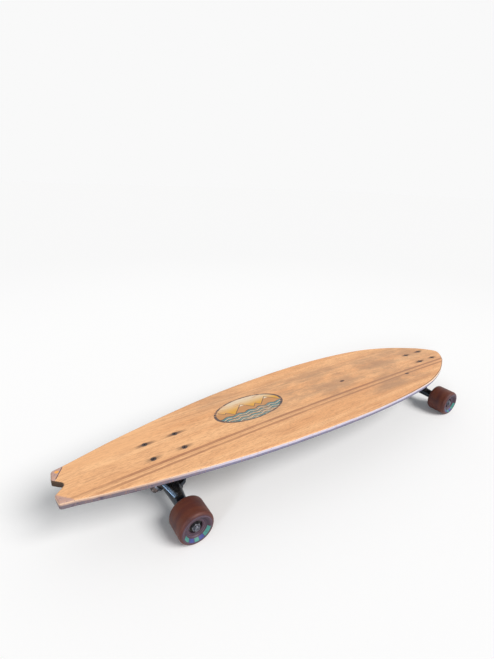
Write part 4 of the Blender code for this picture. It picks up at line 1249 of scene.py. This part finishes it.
def web_of_hanger():
    corners = ((0, -HANGER_WEB_SPAN / 2, 0), (0, HANGER_WEB_SPAN / 2, 0),
               (-HANGER_WEB_REACH, HANGER_WEB_TOP_SPAN / 2, HANGER_WEB_CORNER),
               (-HANGER_WEB_REACH, -HANGER_WEB_TOP_SPAN / 2, HANGER_WEB_CORNER))
    outline = [(point.x, point.y, -HANGER_WEB_THICKNESS / 2) for point in filleted(corners)]
    return extruded(outline, (0, 0, HANGER_WEB_THICKNESS))


def pivot_stub():
    high = acos(-STUB_PAST_BALL / STUB_BALL_RADIUS)
    angles = [BALL_FROM + (high - BALL_FROM) * step / BALL_STEPS for step in range(BALL_STEPS + 1)]
    ball = [(STUB_BALL_RADIUS * sin(angle), PIVOT_REACH - STUB_BALL_RADIUS * cos(angle)) for angle in angles]
    return turned([(0, -STUB_ROOT), (STUB_NECK_RADIUS, -STUB_ROOT)] + ball + [(0, stub_end)], ARM_FACETS)


def bushing_seat(side):
    """What is cut away on one side of the ring: a seat for the bushing, and a spot face round its washer."""
    seat = BUSHING_RADIUS + GAP
    face = washer_radius + RUNNING_GAP
    ring_face = ring_level - SPOT_FACE_DEPTH
    steps = ((0, ring_seat), (seat, ring_seat), (seat, ring_face), (face, ring_face),
             (face, 2 * BODY_HALF_THICKNESS), (0, 2 * BODY_HALF_THICKNESS))
    return turned([(radius, side * level) for radius, level in steps], RING_FACETS)


def hanger_mesh():
    right = [arm_end * step / ARM_STATIONS for step in range(ARM_STATIONS + 1)]
    right.append(hanger_half - COLLAR_LENGTH)
    bar = lofted([arm_section(y) for y in [-y for y in right[:0:-1]] + right])
    eye = round_rims(rod(RING_RADIUS, -ring_level, ring_level, RING_FACETS), CAST_ROUND, 4)
    raw = carved(bar, "UNION", web_of_hanger(), moved(eye, at_ring),
                 moved(rod(COLLAR_RADIUS, -hanger_half + MM, hanger_half - MM), along_axle))
    skin = carved(cast(raw), "UNION", moved(pivot_stub(), Matrix.Rotation(pi / 2, 4, "Y")),
                  moved(rod(COLLAR_RADIUS, -hanger_half, hanger_half), along_axle))
    hole = rod(RING_HOLE_RADIUS, -2 * ring_level, 2 * ring_level)
    bore = rod(axle_bore, -hanger_half - MM, hanger_half + MM)
    bm = carved(skin, "DIFFERENCE", moved(bushing_seat(-1), at_ring), moved(bushing_seat(1), at_ring),
                moved(hole, at_ring), moved(bore, along_axle))
    return finished("hanger_fine", bm, cast_paint, sharp=CAST_SHARP)


hanger_fine = hanger_mesh()
for end in truck:
    fitted(f"{end}_cast_hanger", hanger_fine, steering[end], f"{end}_steered", f"{end}_hanger")


# Axles, speed washers and axle nuts
# A ground steel bar runs through the hanger and both wheels. Its ends are threaded, and each has a hard thin
# washer against the bearing and a plated lock nut.

BEARING_WIDTH = 7.0 * MM
BEARING_SPACING = 10.2 * MM
SPEED_WASHER_RADIUS = 5.6 * MM
SPEED_WASHER_THICKNESS = 0.9 * MM
AXLE_NUT_FLATS = 13.0 * MM
AXLE_NUT_HEIGHT = 6.2 * MM
AXLE_END_SHOWING = 1.6 * MM
AXLE_PITCH = 1.06 * MM
SPEED_WASHER_BEVEL = 0.15 * MM

wheel_y = hanger_half + GAP + BEARING_WIDTH + BEARING_SPACING / 2
speed_washer_y = wheel_y + BEARING_SPACING / 2 + BEARING_WIDTH + GAP
axle_nut_y = speed_washer_y + SPEED_WASHER_THICKNESS + GAP
axle_half = axle_nut_y + AXLE_NUT_HEIGHT + AXLE_END_SHOWING


def speed_washer_shape():
    rim = SPEED_WASHER_RADIUS
    bevel = SPEED_WASHER_BEVEL
    high = SPEED_WASHER_THICKNESS
    return turned([(axle_bore, 0), (rim - bevel, 0), (rim, bevel), (rim, high - bevel), (rim - bevel, high),
                   (axle_bore, high)], RING_FACETS, closed=True)


threaded = thread(AXLE_RADIUS, axle_nut_y - 2 * MM, axle_half, AXLE_PITCH)
far_thread = [(radius, -level) for radius, level in threaded[::-1]]
axle_mesh = finished("axle_fine", turned(far_thread + threaded), dull_and_shaded_steel)
washer_mesh = finished("speed_washer_fine", speed_washer_shape(), dull_and_shaded_steel)
axle_nut_mesh = finished("axle_nut_fine", lock_nut(AXLE_NUT_FLATS, axle_bore, AXLE_NUT_HEIGHT),
                         dull_and_shaded_steel, nylon_insert)


def outward(end, side, y):
    """A place on the axle, y from the middle of the truck, with +Z pointing out of the wheel."""
    left = side == "left"
    towards = 1 if left == (end == "front") else -1
    return (steering[end] @ Matrix.Translation((0, towards * y, RAKE))
            @ Matrix.Rotation(-towards * pi / 2, 4, "X"))


for end in truck:
    fitted(f"{end}_turned_axle", axle_mesh, steering[end] @ along_axle,
           f"{end}_steered", f"{end}_axle")
    for side in ("left", "right"):
        fitted(f"{end}_{side}_hard_washer", washer_mesh, outward(end, side, speed_washer_y),
               f"{end}_steered", f"{end}_{side}_speed_washer")
        fitted(f"{end}_{side}_lock_nut", axle_nut_mesh, outward(end, side, axle_nut_y),
               f"{end}_steered", f"{end}_{side}_axle_nut")


# Kingpins and their lock nuts
# A blacked bolt passes from the plate's pocket, where its head sits, through the baseplate's seat, the
# bushings and the ring. The nut at its road end squeezes the bushings.

ROAD_BUSHING_HEIGHT = 9.5 * MM
KINGPIN_NUT_FLATS = 14.3 * MM
KINGPIN_NUT_HEIGHT = 8.0 * MM
KINGPIN_END_SHOWING = 1.2 * MM
KINGPIN_PITCH = 1.06 * MM
KINGPIN_HEAD_SLOPE = 0.7 * MM

road_bushing_to = bushing_from + ROAD_BUSHING_HEIGHT
kingpin_nut_level = road_bushing_to + GAP + WASHER_THICKNESS + GAP
kingpin_end = kingpin_nut_level + KINGPIN_NUT_HEIGHT + KINGPIN_END_SHOWING


def kingpin_shape():
    low = -head_level - KINGPIN_HEAD_HEIGHT
    corner = KINGPIN_HEAD_FLATS / 2 / cos(pi / 6)
    barrel = turned([(0, low), (KINGPIN_HEAD_FLATS / 2, low), (corner, low + KINGPIN_HEAD_SLOPE),
                     (corner, -head_level), (0, -head_level)])
    head = carved(hexagon(KINGPIN_HEAD_FLATS, low, -head_level), "INTERSECT", barrel)
    root = low + KINGPIN_HEAD_HEIGHT / 2
    end = thread(KINGPIN_RADIUS, kingpin_nut_level - 3 * MM, kingpin_end, KINGPIN_PITCH)
    return carved(turned([(0, root), (KINGPIN_RADIUS, root)] + end), "UNION", head)


kingpin_mesh = finished("kingpin_fine", kingpin_shape(), black_steel)
kingpin_nut_mesh = finished("kingpin_nut_fine",
                            lock_nut(KINGPIN_NUT_FLATS, KINGPIN_RADIUS + GAP, KINGPIN_NUT_HEIGHT),
                            black_steel, nylon_insert)
stack = {end: truck[end] @ kingpin_in_truck for end in truck}
for end in truck:
    fitted(f"{end}_steel_kingpin", kingpin_mesh, stack[end], "board", f"{end}_kingpin")
    fitted(f"{end}_kingpin_lock_nut", kingpin_nut_mesh,
           stack[end] @ Matrix.Translation((0, 0, kingpin_nut_level)),
           "board", f"{end}_kingpin_nut")


# Bushings and cup washers
# A urethane barrel towards the board and a cone towards the road, each under a pressed steel cup washer.
# The ring turns between them.

BUSHING_BORE_GAP = 0.4 * MM
ROAD_BUSHING_TIP_RADIUS = 9.6 * MM
WASHER_LIP_HEIGHT = 2.0 * MM
BUSHING_ROUND = 1.0 * MM
BUSHING_ROWS = 6
ROUND_STEPS = 4
WASHER_TURN = 0.8 * MM
WASHER_EASE = 0.3 * MM
WASHER_INNER_EASE = 0.2 * MM


def rounded_corner(radius, level, inwards):
    """Points round the outer corner of a turned bushing; inwards is -1 at its top and 1 at its bottom."""
    angles = [pi / 2 * step / ROUND_STEPS for step in range(ROUND_STEPS + 1)]
    return [(radius - BUSHING_ROUND * (1 - cos(angle)), level + inwards * BUSHING_ROUND * (1 - sin(angle)))
            for angle in angles]


def bushing_shape(foot_radius, tip_radius, high):
    bore = KINGPIN_RADIUS + BUSHING_BORE_GAP
    foot = rounded_corner(foot_radius, bushing_from, 1)[::-1]
    tip = rounded_corner(tip_radius, high, -1)
    low_level = bushing_from + BUSHING_ROUND
    flank = []
    for row in range(1, BUSHING_ROWS):
        share = row / BUSHING_ROWS
        level = low_level + (high - BUSHING_ROUND - low_level) * share
        flank.append((foot_radius + (tip_radius - foot_radius) * share, level))
    core = [(bore, high - (high - bushing_from) * row / BUSHING_ROWS) for row in range(BUSHING_ROWS + 1)]
    return turned(foot + flank + tip + core, RING_FACETS, closed=True)


def cup_washer(edge):
    """A dished washer. A bushing presses on its face at z = 0, and its lip wraps the bushing's edge."""
    bore = KINGPIN_RADIUS + GAP
    inside = edge + GAP
    outside = inside + WASHER_LIP_THICKNESS
    lip = -WASHER_LIP_HEIGHT
    back = WASHER_THICKNESS
    profile = [(bore, 0), (inside, 0), (inside, lip + WASHER_INNER_EASE), (inside + WASHER_EASE, lip),
               (outside - WASHER_EASE, lip), (outside, lip + WASHER_EASE), (outside, back - WASHER_TURN),
               (outside - 0.3 * WASHER_TURN, back - 0.3 * WASHER_TURN), (outside - WASHER_TURN, back),
               (bore, back)]
    return turned(profile, RING_FACETS, closed=True)


bushing_finish = moulded_finish("black_urethane", seen(58, 54, 56), seen(36, 34, 36), 0.42)
barrel_mesh = finished("board_bushing_fine", bushing_shape(BUSHING_RADIUS, BUSHING_RADIUS, board_bushing_to),
                       bushing_finish)
cone_mesh = finished("road_bushing_fine",
                     bushing_shape(BUSHING_RADIUS, ROAD_BUSHING_TIP_RADIUS, road_bushing_to), bushing_finish)
cone_share = WASHER_LIP_HEIGHT / ROAD_BUSHING_HEIGHT
cone_edge = ROAD_BUSHING_TIP_RADIUS + (BUSHING_RADIUS - ROAD_BUSHING_TIP_RADIUS) * cone_share
board_washer_mesh = finished("board_washer_fine", cup_washer(BUSHING_RADIUS), dull_and_shaded_steel)
road_washer_mesh = finished("road_washer_fine", cup_washer(cone_edge), dull_and_shaded_steel)
for end in truck:
    for side, mesh, washer_blank, high, name in (
            (flip, barrel_mesh, board_washer_mesh, board_bushing_to, "board"),
            (Matrix(), cone_mesh, road_washer_mesh, road_bushing_to, "road")):
        place = stack[end] @ side
        bushing = set_in(f"{end}_{name}_side_bushing", mesh, place)
        place @ Vector((0, 0, high))
        place @ Vector((0, 0, bushing_from))
        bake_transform(bushing)
        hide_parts(f"{end}_{name}_bushing")
        fitted(f"{end}_{name}_cup_washer", washer_blank, place @ Matrix.Translation((0, 0, high + GAP)),
               "board", f"{end}_{name}_washer")


# Bearings
# Two sealed ball bearings in each wheel, pressed in from its faces against the shoulder: ground steel rings
# with a black rubber seal between them.

BEARING_RADIUS = 11.0 * MM
BEARING_RACE_WALL = 1.6 * MM
SHIELD_RECESS = 0.5 * MM
BEARING_BEVEL = 0.25 * MM
SEAL_EDGE = 0.5 * MM
SEAL_BULGE = 0.15 * MM


def bearing_shape():
    half = BEARING_WIDTH / 2
    inner_race = axle_bore + BEARING_RACE_WALL
    outer_race = BEARING_RADIUS - BEARING_RACE_WALL
    shield = half - SHIELD_RECESS
    middle = (inner_race + outer_race) / 2
    side = [(axle_bore, half - BEARING_BEVEL), (axle_bore + BEARING_BEVEL, half), (inner_race, half),
            (inner_race, shield), (inner_race + SEAL_EDGE, shield), (middle, shield + SEAL_BULGE),
            (outer_race - SEAL_EDGE, shield), (outer_race, shield), (outer_race, half),
            (BEARING_RADIUS - BEARING_BEVEL, half), (BEARING_RADIUS, half - BEARING_BEVEL)]
    bm = turned(side + [(radius, -level) for radius, level in side[::-1]], RING_FACETS, closed=True)
    for face in bm.faces:
        centre = face.calc_center_median()
        if inner_race < centre.xy.length < outer_race and abs(centre.z) < half - 0.2 * MM:
            face.material_index = 1
    return bm


bearing_steel = steel_finish("bearing_ground_steel", seen(84, 84, 92), seen(50, 50, 56), 0.3, wear=0.2)
seal_rubber = moulded_finish("seal_rubber", seen(30, 30, 32), seen(18, 18, 20), 0.6)
bearing_mesh = finished("bearing_fine", bearing_shape(), bearing_steel, seal_rubber)
bearing_y = (BEARING_SPACING + BEARING_WIDTH) / 2
for end in truck:
    for side in ("left", "right"):
        for label, shift in (("outer", bearing_y), ("inner", -bearing_y)):
            fitted(f"{end}_{side}_{label}_sealed_bearing", bearing_mesh, outward(end, side, wheel_y + shift),
                   f"{end}_{side}_spinning", f"{end}_{side}_{label}_bearing")


# Wheels
# Poured urethane in one colour right through, with round lips and a dished face. The tread is oranger than
# the face: partly dulled by rolling, partly painted warm light bounced from the floor. The face carries a
# worn print of plain coloured bars.

WHEEL_WIDTH = 45.3 * MM
WHEEL_LIP_RADIUS = 6.0 * MM
WHEEL_LAND = 2.2 * MM
WHEEL_HUB_RADIUS = 15.8 * MM
WHEEL_DISH_DEPTH = 6.4 * MM
WHEEL_SHOULDER = 2.0 * MM
WHEEL_FACETS = 144
WHEEL_LIP_STEPS = 12
WHEEL_EASE = 0.5 * MM
FACE_EDGE = (27.8, 24.6)
TREAD_EDGE = (26.0, 29.4)
RUBBED_RINGS = (14.2, 16.6, 24.4)
PRINT_INNER = 18.4
PRINT_OUTER = 22.8
PRINT_EDGE = 0.15
PRINT_BARS = 5
PRINT_START = 20.3
PRINT_SWAY = 0.45
PRINT_HALF_ANGLE = 1.36
PRINT_TEAL = seen(72, 142, 132)
PRINT_BLUE = seen(66, 76, 138)
# Tread colours: worn urethane with a painted warm bounce of light from the floor.
TREAD_WORN_AND_BOUNCE = seen(102, 56, 42)
TREAD_RED_WORN_AND_BOUNCE = seen(80, 43, 41)
URETHANE_FACE = seen(74, 56, 68)
URETHANE_DARK = seen(54, 34, 40)
URETHANE_RUBBED = seen(134, 112, 128)

wheel_radius = joints["rear_right_spin"]["pos_m"][2]


def wheel_shape():
    half = WHEEL_WIDTH / 2
    lip = WHEEL_LIP_RADIUS
    bore = BEARING_RADIUS + GAP
    hub = half - WHEEL_DISH_DEPTH
    shoulder = BEARING_SPACING / 2 - GAP
    ease = WHEEL_EASE
    land = wheel_radius - lip - WHEEL_LAND
    side = [(bore - WHEEL_SHOULDER, shoulder), (bore, shoulder), (bore, hub - ease), (bore + ease, hub),
            (WHEEL_HUB_RADIUS - ease, hub), (WHEEL_HUB_RADIUS, hub + 0.3 * ease),
            (land - 1.2 * MM, half - 0.9 * MM), (land - 0.4 * MM, half - 0.2 * MM), (land + 0.4 * MM, half)]
    for step in range(WHEEL_LIP_STEPS + 1):
        angle = pi / 2 * step / WHEEL_LIP_STEPS
        side.append((wheel_radius - lip + lip * sin(angle), half - lip + lip * cos(angle)))
    side += [(wheel_radius, (half - lip) * share) for share in (0.66, 0.33)]
    bm = turned(side + [(radius, -level) for radius, level in side[::-1]], WHEEL_FACETS, closed=True)
    return moved(bm, Matrix.Rotation(-pi / 2, 4, "X"))


def keep_own_place(mesh):
    """Stores each point's place in the piece itself, so that its pattern turns with it."""
    own = mesh.attributes.new("own_place", "FLOAT_VECTOR", "POINT")
    own.data.foreach_set("vector", [number for vert in mesh.vertices for number in vert.co])


def wheel_finish():
    """Its sizes are in millimetres from the wheel's middle, along its axle and out to its tread."""
    made, shader, place = new_finish("poured_urethane", 0.5, attribute="own_place")
    x, out, z = in_millimetres(place)
    radius = length(x, z)
    angle = maths("ARCTAN2", x, z * -1.0)
    cloud = noise(place, 55.0, 5.0, 0.6)
    smears = noise(place, (14, 90, 14), 5.0, 0.6)
    grit = noise(place, 1500.0, 3.0, 0.6)
    # The tread's colours: partly wear from rolling, partly a painted warm bounce of light from the floor.
    tread = blended(rise(smears, 0.3, 0.7), TREAD_RED_WORN_AND_BOUNCE, TREAD_WORN_AND_BOUNCE)
    colour = blended(rise(radius, *FACE_EDGE), tread, URETHANE_FACE)
    colour = blended(rise(cloud, 0.45, 0.75) * 0.6, colour, URETHANE_DARK)
    scuffs = rise(grit, 0.62, 0.74) * rise(radius, *TREAD_EDGE)
    colour = blended(scuffs * 0.35, colour, ROAD_DUST)
    for ring_radius in RUBBED_RINGS:
        ring = stripe(radius, ring_radius, 0.2, 0.35) * rise(cloud, 0.3, 0.6)
        colour = blended(ring * 0.4, colour, URETHANE_RUBBED)

    # Plain bars round the lower part of the outer face
    turns = angle * (PRINT_BARS / pi) + (maths("SINE", angle * 2.3) * PRINT_SWAY + PRINT_START)
    part = maths("FRACT", turns)
    odd = maths("MODULO", maths("FLOOR", turns), 2.0)
    bars = rise(part, 0.02, 0.05) * rise(part, 0.98, 0.95)
    half_ring = (PRINT_OUTER - PRINT_INNER) / 2 - PRINT_EDGE
    ring = stripe(radius, (PRINT_INNER + PRINT_OUTER) / 2, half_ring, 2 * PRINT_EDGE)
    cover = bars * ring * stripe(angle, 0.0, PRINT_HALF_ANGLE, 0.02) * rise(out, 12.0, 14.0)
    worn = rise(noise(place, 300.0, 4.0, 0.65), 0.78, 0.54)
    colour = blended(cover * worn * 0.9, colour, blended(odd, PRINT_TEAL, PRINT_BLUE))
    feed(shader.inputs["Base Color"], colour)
    feed(shader.inputs["Roughness"], cloud * 0.22 + 0.36)
    shader.inputs["Specular IOR Level"].default_value = 0.26
    shader.inputs["Subsurface Weight"].default_value = 0.08
    shader.inputs["Subsurface Scale"].default_value = 2 * MM
    bumped(shader, grit + smears * 1.5, 0.05 * MM, 0.6)
    return made


wheel_mesh = finished("wheel_fine", wheel_shape(), wheel_finish())
keep_own_place(wheel_mesh)
for end in truck:
    for side in ("left", "right"):
        centre = Matrix.Translation(joints[f"{end}_{side}_spin"]["pos_m"])
        facing = Matrix.Rotation(0 if side == "left" else pi, 4, "Z")
        fitted(f"{end}_{side}_poured_wheel", wheel_mesh, centre @ facing,
               f"{end}_{side}_spinning", f"{end}_{side}_wheel")
